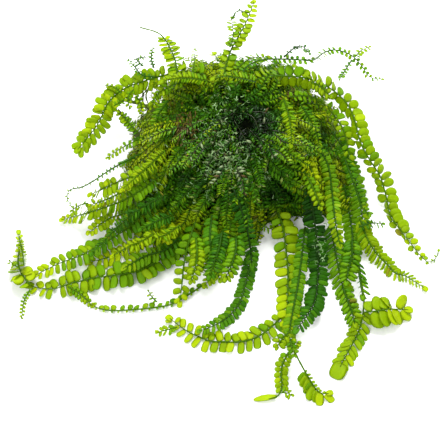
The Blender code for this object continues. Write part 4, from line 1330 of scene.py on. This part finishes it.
@dataclass
class Fronds:
    """Every shoot that stands out of the mat."""

    seed: int = 7
    row_starts: tuple[float, float] = (0.35, 0.85)  # of the left and right leaves, as shares of the step
    stem_sides: int = 6

    def lay_all(self) -> list[tuple[Shoot, Array]]:
        """Lays all shoots and sprigs over the limbs, each over those before it.

        Returns:
            Each shoot with its stem's points.
        """
        heap = Heap()
        for points, radii in LIMBS.values():
            path = spline(np.array(points, float), SAMPLE)
            thick = np.interp(np.linspace(0, 1, len(path)), np.linspace(0, 1, len(radii)), radii) * LIMB_CLEAR
            places = path[:, None, :2] + sideways(path)[:, None, :] * (thick[:, None] * ACROSS)[..., None]
            heap.add(places, np.broadcast_to(path[:, 2:] + thick[:, None], places.shape[:2]))
        return [(shoot, shoot.lay(heap)) for shoot in (*SHOOTS, *SPRIGS)]

    def one_row(
        self, look: Foliage, path: Array, row: int, stretch: tuple[float, float], rng: np.random.Generator
    ) -> Leaves:
        """One row of leaves along a stem.

        A leaf at a share t of the leafy stretch has its full size times a factor that opens at the root and
        closes at the tip. It points sideways, leaning to the tip, and hangs by its row's angle.

        Args:
            look: how the shoot is leaved.
            path: its stem's points.
            row: 0 for the left one and 1 for the right one.
            stretch: where the leafy stretch begins and ends along the stem.
            rng: the source of the leaves' differences.

        Returns:
            The row's leaves.
        """
        first, last = stretch
        sign = (-1.0, 1.0)[row]
        at = np.arange(first + look.step * self.row_starts[row], last - 0.1 * look.long, look.step)
        at = at + rng.normal(0, 0.07 * look.step, len(at))
        count = len(at)
        t = np.clip((at - first) / (last - first), 0, 1)
        opening = look.start + (1 - look.start) * np.clip(t / look.opening, 0, 1)
        closing = look.end + (1 - look.end) * np.clip((1 - t) / look.closing, 0, 1) ** look.power
        size = opening * (look.rows[row] * closing)
        gone = travelled(path)
        here = read_along(at, gone, path)
        along = unit(read_along(at, gone, unit(np.gradient(path, axis=0))))
        side = unit(read_along(at, gone, np.column_stack([sideways(path), np.zeros(len(path))])))
        over = unit(np.cross(side, along))
        side = np.cross(along, over)
        lean = look.lean + rng.normal(0, 0.1 * look.ragged, count) + 0.5 * np.clip((t - 0.8) / 0.2, 0, 1)
        hang = look.hang[row] + rng.normal(0, 0.13 * look.ragged, count)
        outward = sign * side * np.cos(hang)[:, None] - over * np.sin(hang)[:, None]
        over_leaf = over * np.cos(hang)[:, None] + sign * side * np.sin(hang)[:, None]
        point = outward * np.cos(lean)[:, None] + along * np.sin(lean)[:, None]
        wide = sign * (along * np.cos(lean)[:, None] - outward * np.sin(lean)[:, None])
        tilt = rng.normal(look.tilt, 0.1, count) * sign
        across = wide * np.cos(tilt)[:, None] - over_leaf * np.sin(tilt)[:, None]
        tone = look.tones[0] + (look.tones[1] - look.tones[0]) * t + rng.normal(0, 0.32, count)
        tone = np.clip(np.rint(tone), 0, TONES - 1)
        chance = rng.random(count)
        tone = np.where(chance < look.old, OLD, np.where(chance > 1 - look.pale, PALE, tone))
        return Leaves(
            base=here + outward * look.stem * 0.5 + over * 0.05,
            ahead=point,
            across=across,
            over=np.cross(point, across),
            long=look.long * size * rng.uniform(0.9, 1.08, count),
            wide=look.wide * size * rng.uniform(0.92, 1.1, count),
            droop=look.curl + rng.normal(0, 0.22, count),
            cup=rng.normal(-0.12, 0.16, count),
            twist=rng.normal(0, 0.2, count),
            sweep=sign * rng.normal(0.16, 0.08, count),
            tone=tone,
        )

    @staticmethod
    def tip_leaf(look: Foliage, path: Array, tip_at: float) -> Leaves:
        """The leaf that ends a shoot and points along its last stretch.

        Args:
            look: how the shoot is leaved.
            path: its stem's points.
            tip_at: how far along the stem the leaf is fixed.

        Returns:
            The leaf.
        """
        base = read_along([tip_at], travelled(path), path)
        point = unit(path[-1:] - base)
        side = np.column_stack([sideways(path)[-1:], np.zeros(1)])
        over = unit(np.cross(side, point))
        return Leaves(
            base=base,
            ahead=point,
            across=np.cross(over, point),
            over=over,
            long=np.array([look.long * look.tip]),
            wide=np.array([look.long * look.tip * look.tip_wide]),
            droop=np.array([0.3]),
            cup=np.array([0.2]),
            twist=np.array([0.1]),
            sweep=np.array([0.0]),
            tone=np.clip(np.rint(np.array([look.tones[1]])), 0, TONES - 1),
        )

    def leaves_of(self, look: Foliage, path: Array, rng: np.random.Generator) -> Leaves:
        """The two rows of leaves along a shoot and the leaf at its tip.

        Args:
            look: how the shoot is leaved.
            path: its stem's points.
            rng: the source of the leaves' differences.

        Returns:
            Its leaves.
        """
        whole = travelled(path)[-1]
        tip_at = max(0.5 * whole, whole - 0.85 * look.long * look.tip)
        stretch = (look.bare * whole, min((1 - look.bare_end) * whole, tip_at + 0.3))
        rows = [self.one_row(look, path, row, stretch, rng) for row in (0, 1)]
        return Leaves.join([*rows, self.tip_leaf(look, path, tip_at)])

    def stem_of(self, look: Foliage, path: Array, faces: Faces) -> None:
        """Adds a shoot's stem, which tapers with small swellings and ends inside the tip leaf.

        Args:
            look: how the shoot is leaved.
            path: its stem's points.
            faces: where it is added.
        """
        last = max(5, len(path) - int(0.6 * look.long * look.tip / SAMPLE))
        coarse = path[np.unique(np.linspace(0, last - 1, max(4, last // 2)).astype(int))]
        thin = 0.7 if look.bare_end else 0.35
        taper = np.interp(np.linspace(0, 1, len(coarse)), [0, 0.7, 1], [1.0, 0.8, thin])
        wobble = 1 + 0.12 * np.sin(np.arange(len(coarse)) * 2.3)
        grow_stem(coarse, look.stem * taper * wobble, self.stem_sides, faces)

    def build(self, finishes: dict[Leaf, bpy.types.Material]) -> None:
        """Makes every shoot as one piece, its stem and its leaves, and all sprigs of a finish as another.

        Args:
            finishes: the leaf materials.
        """
        rng = np.random.default_rng(self.seed)
        sprigs = {finish: Faces() for finish in (Leaf.BRIGHT, Leaf.MID)}
        for shoot, path in self.lay_all():
            look = shoot.foliage
            small = shoot in SPRIGS
            faces = sprigs[look.finish] if small else Faces()
            self.stem_of(look, path, faces)
            leaves = self.leaves_of(look, path, rng)
            if small:
                SPRIG_LEAF.grow(leaves, faces)
                continue
            shape = ROUND_LEAF if look.wide > ROUND_FROM * look.long else FROND_LEAF
            shape.grow(leaves, faces)
            faces.build(shoot.name + "_leafy", finishes[look.finish], look.finish.value.slot, (shoot.name,))
        for finish, faces in sprigs.items():
            name = f"small_sprigs_{finish.name.lower()}"
            faces.build(name, finishes[finish], finish.value.slot, ("moss_mat",))


# Moss mat


@dataclass(frozen=True)
class Patch:
    """A soft spot of the mat, in pixels of the front view, with lighter, darker or withered leaves.

    pale is the share of pale leaves there that paint glints.
    """

    across: float
    down: float
    wide: float
    high: float
    tone: float
    old: float = 0.0
    pale: float = 0.0


# pale sets the share of pale leaves that paint glints, most of them over the wet heart
PATCHES = (
    Patch(228, 170, 36, 30, -1.6, pale=0.3),
    # painted shade: a hollow in the mat, its leaves made near black
    Patch(255, 123, 20, 17, -3.2),
    Patch(264, 216, 10, 10, 2.0),
    Patch(312, 172, 9, 14, 3.5),
    Patch(344, 192, 10, 16, 2.0),
    Patch(136, 184, 12, 12, 2.0),
    Patch(273, 194, 14, 11, -2.8),
    Patch(183, 177, 12, 11, -2.2),
    Patch(165, 196, 26, 14, -1.6),
    Patch(222, 96, 22, 18, -0.9, pale=0.1),
    Patch(318, 138, 14, 18, -0.8),
    Patch(152, 92, 26, 24, 1.9),
    Patch(155, 152, 24, 26, 2.4),
    Patch(118, 190, 26, 22, 2.6),
    Patch(292, 120, 14, 26, 2.2),
    Patch(165, 226, 16, 16, 1.8),
    Patch(135, 228, 22, 16, 1.4),
    Patch(208, 75, 50, 14, 3.2),
    Patch(335, 180, 26, 40, 1.6),
    Patch(294, 192, 24, 26, -1.7),
    Patch(330, 110, 20, 20, 1.9),
    Patch(205, 228, 26, 18, 1.2),
    Patch(185, 128, 15, 17, -0.2, old=0.3),
    Patch(301, 93, 13, 7, -0.4, old=0.4),
)


@dataclass(frozen=True)
class Tuft:
    """A kind of short shoot of the mat: how many, how long, how leaved, and how it stands.

    Where two numbers are given, the first holds in the middle of the mat and the second at its rim, and reach
    is where the innermost and the outermost start. up, down and astray are the shares of the mat's own
    normal, of the way downhill and of a random way in its direction. flat is how far the leaves turn off the
    mat's surface, tone how much lighter they are, and narrow their width as a share of their size. wave is
    how far the shoot winds to and fro.
    """

    count: int
    leaves: int
    reach: tuple[float, float]
    length: tuple[float, float]
    size: tuple[float, float]
    root_depth: tuple[float, float]
    up: tuple[float, float]
    down: tuple[float, float]
    astray: tuple[float, float]
    flat: float
    curl: tuple[float, float]
    tone: float
    narrow: float
    wave: float


SHORT = Tuft(
    count=1050, leaves=12, reach=(0.0, 0.985), length=(3.6, 5.0), size=(1.0, 1.3), root_depth=(2.3, 1.8),
    up=(0.65, 0.4), down=(0.3, 0.9), astray=(0.9, 0.5), flat=0.7, curl=(1.5, 0.7), tone=-0.3, narrow=0.5,
    wave=0.5)
DRAPE = Tuft(
    count=720, leaves=24, reach=(0.04, 0.97), length=(8.5, 10.5), size=(1.3, 1.7), root_depth=(1.1, 0.7),
    up=(0.16, 0.1), down=(0.75, 1.0), astray=(0.4, 0.22), flat=0.22, curl=(1.0, 0.5), tone=0.2, narrow=0.45,
    wave=0.55)
THIN_FROND = Tuft(
    count=170, leaves=34, reach=(0.2, 0.93), length=(8.5, 10.5), size=(1.3, 1.6), root_depth=(-0.4, -0.3),
    up=(0.08, 0.05), down=(1.0, 1.0), astray=(0.35, 0.22), flat=0.1, curl=(0.5, 0.4), tone=0.7, narrow=0.34,
    wave=0.35)


@dataclass
class MossMat:
    """The mat of short shoots over the wood, and the dead felt beneath it."""

    seed: int = 11
    felt_depth: float = 2.5
    felt_reach: float = 0.93
    felt_inset: float = 1.06
    felt_lumps: float = 0.45
    felt_beside_trunk: float = 1.6
    felt_over_trunk: float = 1.2
    felt_turns: int = 120
    felt_rings: int = 44
    spread: float = 0.54  # the power of a shoot's number that its reach grows with
    scatter: float = 0.3  # how far a shoot starts from its even place
    steepest: float = 6.0  # the slope past which the mat counts as no steeper
    tone: float = 3.8
    stem_radii: tuple[float, ...] = (0.15, 0.14, 0.13, 0.12, 0.1, 0.06)
    sectors: tuple[str, ...] = ("right", "back_right", "back_left", "left", "front_left", "front_right")
    crown: float = 0.42  # the crown's reach, as a share of the mat's
    slope_reach: float = 0.2  # how far each way the mat's slope is read
    slope_inset: float = 0.985  # how far in it is read, as a share of the place

    def felt(self, finish: bpy.types.Material) -> None:
        """The felt: a closed shell between the mat's form and the wood.

        Its top is the mat's form, shrunk sideways by felt_inset and lowered by felt_depth, with fine lumps.
        Its underside is the sloping rim plane, lowered where that would stand out of the mat, with a swelling
        over the trunk. Both are functions of the turn and the share of the mat's reach. Quads across the
        smallest rings close them.

        Args:
            finish: its material.
        """
        turn = 2 * math.pi * np.arange(self.felt_turns) / self.felt_turns
        share = np.linspace(0, 1, self.felt_rings)[1:] ** 0.8 * self.felt_reach
        reach = around(MAT_REACH, turn)[None, :] * np.concatenate([[0.004], share])[:, None]
        x, y = reach * np.cos(turn), reach * np.sin(turn)
        lumps = np.sin(1.9 * x + 0.7 * y) * np.sin(1.7 * y - 0.6 * x)
        lumps = lumps + 0.6 * np.sin(3.7 * x + 1.2) * np.sin(3.3 * y)
        beneath = np.maximum(mat_height(x, y) - self.felt_depth - 0.5, 0.6)
        rim = np.minimum(RIM_MIDDLE + RIM_SLOPE * y + 0.5, beneath)
        form = mat_height(x * self.felt_inset, y * self.felt_inset) - self.felt_depth
        top = np.maximum(form + self.felt_lumps * lumps, rim + 0.5)
        share_x = x / (TRUNK_HALF[0] + self.felt_beside_trunk)
        share_y = y / (TRUNK_HALF[1] + self.felt_beside_trunk)
        swelling = np.sqrt(np.clip(1 - share_x**2 - share_y**2, 0, 1))
        under = np.maximum(rim, TRUNK_MIDDLE[2] + (TRUNK_HALF[2] + self.felt_over_trunk) * swelling)
        under = np.minimum(under, top - 0.4)
        rings = np.concatenate([np.stack([x, y, top], axis=-1), np.stack([x, y, under], axis=-1)[::-1]])
        quads, strip = join_rings(len(rings), self.felt_turns)
        first = np.arange(self.felt_turns)
        last = first + (len(rings) - 1) * self.felt_turns
        ends = []
        for order in (first, last[::-1]):
            for k in range(self.felt_turns // 2 - 1):
                ends.append([order[k], order[k + 1], order[-k - 2], order[-k - 1]])
        end_strip = np.tile([(0.1, 0.1), (0.12, 0.1), (0.12, 0.12), (0.1, 0.12)], (len(ends), 1, 1))
        faces = Faces()
        quads = np.concatenate([quads, np.array(ends)])
        faces.add(rings.reshape(-1, 3), quads, np.concatenate([strip, end_strip]))
        faces.build("moss_felt", finish, "moss_mat", ("moss_mat",))

    def normals(self, x: Array, y: Array) -> Array:
        """The mat's upward normal, from the rise of its height over a short way along X and along Y.

        Args:
            x: the places along X.
            y: the places along Y, which are both drawn in a little, off the rim.

        Returns:
            The normal at each place.
        """
        step = self.slope_reach
        x, y = x * self.slope_inset, y * self.slope_inset
        slope = np.stack([
            (mat_height(x + step, y) - mat_height(x - step, y)) / (2 * step),
            (mat_height(x, y + step) - mat_height(x, y - step)) / (2 * step),
        ], axis=-1)
        steep = np.linalg.norm(slope, axis=-1, keepdims=True)
        slope = slope * np.clip(steep, 0, self.steepest) / np.maximum(steep, 1e-3)
        return unit(np.concatenate([-slope, np.ones((len(x), 1))], axis=-1))

    def starts(self, tuft: Tuft, rng: np.random.Generator) -> tuple[Array, Array]:
        """Where the shoots of one kind start.

        They start at even places, each a little astray: the n-th at the n-th turn of the golden angle and a
        reach that grows with a power of n.

        Args:
            tuft: the kind.
            rng: the source of the shoots' differences.

        Returns:
            The turn of each and its share of the mat's reach that way.
        """
        n = np.arange(tuft.count) + 0.5
        turn = n * math.pi * (3 - math.sqrt(5)) + rng.normal(0, 0.05, tuft.count)
        share = tuft.reach[0] + (tuft.reach[1] - tuft.reach[0]) * (n / tuft.count) ** self.spread
        reach = around(MAT_REACH, turn) * share
        x = reach * np.cos(turn) + rng.normal(0, self.scatter, tuft.count)
        y = reach * np.sin(turn) + rng.normal(0, self.scatter, tuft.count)
        turn = np.arctan2(y, x)
        return turn, np.minimum(np.hypot(x, y) / around(MAT_REACH, turn), 0.99)

    def tones(self, point: Array, tone: Array, rng: np.random.Generator) -> Array:
        """The column in the colour strip of each leaf.

        A patch changes a leaf by its own numbers times a bell curve of how far the leaf shows from its
        middle.

        Args:
            point: where each leaf of each shoot is.
            tone: its tone before the patches.
            rng: the source of the leaves' differences.

        Returns:
            The columns.
        """
        view = in_view(point)
        across = PIXEL_MIDDLE + PIXELS_A_MM * view[..., 0]
        down = PIXEL_MIDDLE - PIXELS_A_MM * view[..., 1]
        shape = point.shape[:2]
        tone = tone + rng.normal(0, 0.75, (shape[0], 1)) + rng.normal(0, 0.35, shape)
        old, pale = np.full(shape, 0.01), np.full(shape, 0.01)
        for patch in PATCHES:
            aside = (across - patch.across) / patch.wide
            below = (down - patch.down) / patch.high
            near = np.exp(-(aside**2) - below**2)
            tone = tone + patch.tone * near
            old = old + patch.old * near
            pale = pale + patch.pale * near
        chance = rng.random(shape)
        tone = np.clip(np.rint(tone), 0, TONES - 1)
        return np.where(chance < old, OLD, np.where(chance > 1 - pale, PALE, tone))

    def grow(self, tuft: Tuft, rng: np.random.Generator) -> tuple[Array, Array, Leaves]:
        """The shoots of one kind, over the whole mat.

        Each rises from the felt and bends downhill along a parabola, winding as a sine wave, and its leaves
        sit by turns to its left and right.

        Args:
            tuft: the kind.
            rng: the source of the shoots' differences.

        Returns:
            The region of each shoot, the points of its stem, and all leaves.
        """
        count = tuft.count
        turn, share = self.starts(tuft, rng)
        x, y = (around(MAT_REACH, turn) * share * way for way in (np.cos(turn), np.sin(turn)))
        normal = self.normals(x, y)
        radial = np.column_stack([np.cos(turn), np.sin(turn), np.zeros(count)])
        downhill = unit(radial - (radial * normal).sum(axis=1)[:, None] * normal)
        outer = np.clip((share - 0.3) / 0.6, 0, 1)

        def between(pair: tuple[float, float]) -> Array:
            """A value between the mat's middle and its rim."""
            return (pair[0] + (pair[1] - pair[0]) * outer)[:, None]

        wander = unit(rng.normal(0, 1, (count, 3)))
        standing = between(tuft.up) * (1 + np.clip(y / 12, 0, 1))[:, None]
        way = unit(normal * standing + downhill * between(tuft.down) + wander * between(tuft.astray))
        aside = unit(rng.normal(0, 1, (count, 3)))
        bend = downhill * (0.3 + 0.5 * outer[:, None]) - normal * 0.35 + aside * 0.4
        length = between(tuft.length) * rng.uniform(0.8, 1.15, (count, 1))
        # shorter at the rim of the two sides and of the back
        cut = np.clip(np.abs(x) / 22 - 0.35 * (y < 0), 0, 1)
        cut = np.maximum(cut, 1.3 * np.clip(y / 24, 0, 1) ** 2)
        length = length * (1 - 0.4 * outer**3 * cut)[:, None]
        root = np.column_stack([x, y, mat_height(x, y)]) - normal * between(tuft.root_depth)
        size = between(tuft.size) * rng.uniform(0.85, 1.15, (count, 1))
        winding = unit(np.cross(way, normal)) * tuft.wave * rng.uniform(0.3, 1.6, (count, 1))
        phase = rng.uniform(0, 2 * math.pi, (count, 1))

        def along_shoot(t: Array) -> Array:
            """The points of each shoot: a parabola with a sine wave across it.

            Args:
                t: shares of its length.

            Returns:
                The points of each shoot at the shares.
            """
            straight = length[..., None] * (way[:, None] * t[:, None] + 0.4 * bend[:, None] * t[:, None] ** 2)
            wave = np.sin(5.5 * t[None] + phase) - np.sin(phase)
            return root[:, None] + straight + winding[:, None] * wave[..., None]

        t = (np.arange(tuft.leaves) + 0.8) / tuft.leaves
        point = along_shoot(t)
        along = unit(along_shoot(t + 0.01) - point)
        level = unit(normal + tuft.flat * rng.normal(0, 1, (count, 3)))[:, None]
        side = unit(np.cross(along, np.broadcast_to(level, along.shape)))
        shape = (count, tuft.leaves)
        sign = np.where(np.arange(tuft.leaves) % 2 == 0, 1.0, -1.0)[None, :, None]
        lean = rng.normal(0.5, 0.2, shape)[..., None]
        outward = sign * side * np.cos(lean) + along * np.sin(lean)
        across = sign * (along * np.cos(lean) - sign * side * np.sin(lean))
        tone = self.tone + tuft.tone + 1.4 * outer[:, None] + 1.2 * (t[None] - 0.5)
        # painted shade: leaves darker towards the back of the mat, past y = 11
        tone = tone - 1.1 * np.clip(y / 10 - 1.1, 0, 1)[:, None]
        tone = self.tones(point, tone, rng)
        grown = size * (0.7 + 0.5 * np.sin(math.pi * t[None] ** 0.8))
        curl = np.broadcast_to(between(tuft.curl), shape)
        leaves = Leaves(
            base=point.reshape(-1, 3),
            ahead=outward.reshape(-1, 3),
            across=across.reshape(-1, 3),
            over=np.cross(outward, across).reshape(-1, 3),
            long=grown.ravel() * 1.15,
            wide=grown.ravel() * tuft.narrow,
            droop=(curl * rng.normal(0.9, 0.5, shape)).ravel(),
            cup=(curl * rng.normal(0.1, 0.5, shape)).ravel(),
            twist=(curl * rng.normal(0, 0.4, shape)).ravel(),
            sweep=(sign[..., 0] * rng.normal(0.12, 0.1, shape)).ravel(),
            tone=tone.ravel(),
        )
        sectors = len(self.sectors)
        sector = np.floor(np.mod(turn / (2 * math.pi) * sectors + 0.5, sectors)).astype(int)
        inner = np.where(y < 0, sectors, sectors + 1)
        stems = along_shoot(np.linspace(0, 1, len(self.stem_radii)))
        return np.where(share < self.crown, inner, sector), stems, leaves

    def build(self, finishes: dict[Leaf, bpy.types.Material]) -> None:
        """Makes the mat's short shoots, gathered by where they grow.

        Args:
            finishes: the leaf materials.
        """
        rng = np.random.default_rng(self.seed)
        grown = [(tuft, *self.grow(tuft, rng)) for tuft in (SHORT, DRAPE, THIN_FROND)]
        for index, place in enumerate((*self.sectors, "front_crown", "back_crown")):
            faces = Faces()
            for tuft, region, stems, leaves in grown:
                here = region == index
                for path in stems[here]:
                    grow_stem(path, np.array(self.stem_radii), 4, faces)
                if here.any():
                    TUFT_LEAF.grow(leaves.pick(np.repeat(here, tuft.leaves)), faces)
            finish = Leaf.HEART if place == "front_crown" else Leaf.MID
            faces.build(f"mat_shoots_{place}", finishes[finish], "moss_mat", ("moss_mat",))


@dataclass(frozen=True)
class Spot:
    """Where short crooked threads lie, in pixels of the front view: middle, how far they spread, how many."""

    across: float
    down: float
    wide: float
    high: float
    count: int


@dataclass
class Threads:
    """Shoots that have lost their leaves, or pale curls that paint glints, lying on the mat.

    spots are of short threads and stems are single long ones. step is the length of a short thread's pieces,
    turning how sharply it bends from one to the next, and lift how high it lies over the mat. All come down
    from start by fall at a time, to the mat or to lowest.
    """

    thread: Thread
    spots: tuple[Spot, ...] = ()
    stems: tuple[tuple[tuple[float, float, float], ...], ...] = ()
    step: tuple[float, float] = (2.5, 5.5)
    turning: tuple[float, float] = (0.0, 0.7)
    lift: tuple[float, float] = (1.0, 2.4)
    seed: int = 5
    start: float = 30.0
    lowest: float = 6.0
    fall: float = 0.4

    def rest(self, seen: Array) -> Array:
        """Points of the front view brought down to where the mat lies.

        Args:
            seen: pixels across and down, and the height over the mat.

        Returns:
            The points.
        """
        across = (seen[:, 0] - PIXEL_MIDDLE) / PIXELS_A_MM
        up = (PIXEL_MIDDLE - seen[:, 1]) / PIXELS_A_MM
        height = np.full(len(seen), self.start)
        for _ in range(round((self.start - self.lowest) / self.fall)):
            point = from_view(across, up, height)
            rest_at = np.maximum(mat_height(point[:, 0], point[:, 1]), self.lowest) + seen[:, 2]
            height = np.where(height > rest_at, height - self.fall, height)
        return from_view(across, up, height)

    def build(self) -> None:
        """Makes the threads: single stems through points of the front view, and spots of many short ones.

        A short thread has four points. Each is a step on from the last, in a way that turns by random angles,
        and the third lies at a random place about the spot's middle.
        """
        rng = np.random.default_rng(self.seed)
        faces = Faces()
        runs = [(np.array(stem), 0.2) for stem in self.stems]
        for spot in self.spots:
            for _ in range(spot.count):
                middle = np.array([spot.across, spot.down]) + rng.normal(0, 0.5, 2) * (spot.wide, spot.high)
                first = rng.uniform(0, 2 * math.pi)
                turn = first + rng.choice([-1, 1]) * np.cumsum(rng.normal(*self.turning, 4))
                pieces = np.column_stack([np.cos(turn), np.sin(turn)]) * rng.uniform(*self.step)
                steps = np.cumsum(pieces, axis=0)
                lift = rng.uniform(*self.lift, 4)
                runs.append((np.column_stack([middle + steps - steps[2], lift]), 0.1))
        for seen, radius in runs:
            path = spline(self.rest(seen), 0.7)
            radii = radius * np.interp(np.linspace(0, 1, len(path)), [0, 0.6, 1], [1.1, 1.0, 0.5])
            grow_stem(path, radii * (1 + 0.2 * np.sin(np.arange(len(path)) * 2.1)), 4, faces)
        finish = self.thread.value
        faces.build(f"{self.thread.name.lower()}_threads", finish.make(), finish.slot, ("moss_mat",))


THREADS = (
    Threads(Thread.WITHERED, spots=(Spot(185, 128, 14, 16, 40), Spot(302, 94, 14, 6, 18))),
    Threads(Thread.GREEN, stems=(
        ((142, 80, 1.4), (143, 96, 1.8), (142, 112, 1.6), (141, 132, 1.2)),
        ((150, 84, 1.2), (146, 96, 1.5), (150, 108, 1.3)),
        ((340, 96, 1.4), (341, 108, 1.6), (342, 118, 1.2)),
    ), spots=(Spot(140, 137, 6, 5, 12), Spot(150, 92, 12, 8, 10)), seed=8),
    # pale curls over the heart and the dark glossy frond: painted glints where wet leaves catch the light
    Threads(Thread.PALE, spots=(
        Spot(228, 166, 40, 28, 120), Spot(222, 98, 26, 22, 34), Spot(215, 134, 26, 14, 30),
        Spot(262, 178, 22, 16, 26), Spot(200, 193, 22, 10, 20), Spot(158, 192, 22, 12, 20),
        Spot(318, 246, 9, 24, 20)),
        step=(1.1, 2.2), turning=(0.8, 0.5), lift=(1.4, 3.2), seed=9),
)


# Driftwood


@dataclass
class Driftwood:
    """The wood under the moss, which keeps its CAD form."""

    nodes: tuple[str, ...] = ("driftwood_trunk", *LIMBS)

    def dress(self, finish: bpy.types.Material) -> None:
        """Gives every piece of wood its finish.

        Args:
            finish: the wood's material.
        """
        for name in self.nodes:
            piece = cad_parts[name]
            piece.data.materials.clear()
            piece.data.materials.append(finish)
            log.info("%s: dressed", name)


# Studio


@dataclass(frozen=True)
class Lamp:
    """A square lamp that shines at the origin. Its place and size are in metres."""

    name: str
    place: tuple[float, float, float]
    power: float
    size: float = 0.6

    def hang(self, scene: bpy.types.Scene) -> None:
        """Puts the lamp in the scene, tipped up from straight down and then turned to face the origin.

        Args:
            scene: the scene.
        """
        light = bpy.data.lights.new(self.name, "AREA")
        light.energy = self.power
        light.size = self.size
        holder = bpy.data.objects.new(self.name, light)
        holder.location = self.place
        aim = -np.array(self.place)
        tip = math.acos(-aim[2] / np.linalg.norm(aim))
        holder.rotation_euler = (tip, 0, math.atan2(aim[0], -aim[1]) + math.pi)
        scene.collection.objects.link(holder)


@dataclass
class Studio:
    """The white table, the soft light and the camera."""

    table_half: float = 2.5
    table_level: float = -0.00002
    world_light: float = 0.85
    lamps: tuple[Lamp, ...] = (
        Lamp("key", (0.1, 0.62, 0.95), power=17.0),
        Lamp("fill", (-0.5, -0.6, 0.9), power=5.95),
    )

    def lay_table(self, scene: bpy.types.Scene) -> None:
        """Makes the table, with its sizes in metres.

        Args:
            scene: the scene.
        """
        half, level = self.table_half, self.table_level
        corners = [(-half, -half, level), (half, -half, level), (half, half, level), (-half, half, level)]
        mesh = bpy.data.meshes.new("table")
        mesh.from_pydata(corners, [], [(0, 1, 2, 3)])
        mesh.materials.append(FloorFinish().make())
        table = bpy.data.objects.new("table", mesh)
        scene.collection.objects.link(table)

    def light(self, scene: bpy.types.Scene) -> None:
        """Lights the scene from all round and by the lamps.

        Args:
            scene: the scene.
        """
        world = bpy.data.worlds.new("studio")
        world.use_nodes = True
        sky = world.node_tree.nodes["Background"]
        sky.inputs["Color"].default_value = (1.0, 1.0, 1.0, 1.0)
        sky.inputs["Strength"].default_value = self.world_light
        scene.world = world
        for lamp in self.lamps:
            lamp.hang(scene)

    def point_camera(self, scene: bpy.types.Scene) -> None:
        """Makes the camera, which looks down by VIEW_RISE at VIEW_CENTRE.

        Args:
            scene: the scene.
        """
        lens = bpy.data.cameras.new("front_view")
        lens.sensor_width = FILM_WIDTH
        lens.lens = FILM_WIDTH * VIEW_AWAY / VIEW_WIDTH
        lens.clip_start = 0.01
        camera = bpy.data.objects.new("front_view", lens)
        camera.location = (VIEW_CENTRE + VIEW_AWAY * VIEW_TOWARD) * MM
        camera.rotation_euler = (math.pi / 2 - VIEW_RISE, 0.0, 0.0)
        scene.collection.objects.link(camera)
        scene.camera = camera
        scene.view_settings.view_transform = "Standard"

    def build(self) -> None:
        """Makes the table, the lights and the camera."""
        scene = bpy.context.scene
        self.lay_table(scene)
        self.light(scene)
        self.point_camera(scene)


def main() -> None:
    """Builds the studio, then the wood, the mat and the fronds."""
    logging.basicConfig(level=logging.INFO, format="%(name)s: %(message)s")
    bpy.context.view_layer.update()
    Studio().build()
    finishes = {leaf: leaf.value.make() for leaf in Leaf}
    Driftwood().dress(WoodFinish().make())
    mat = MossMat()
    mat.felt(FeltFinish().make())
    mat.build(finishes)
    for threads in THREADS:
        threads.build()
    Fronds().build(finishes)


if __name__ == "__main__":
    main()
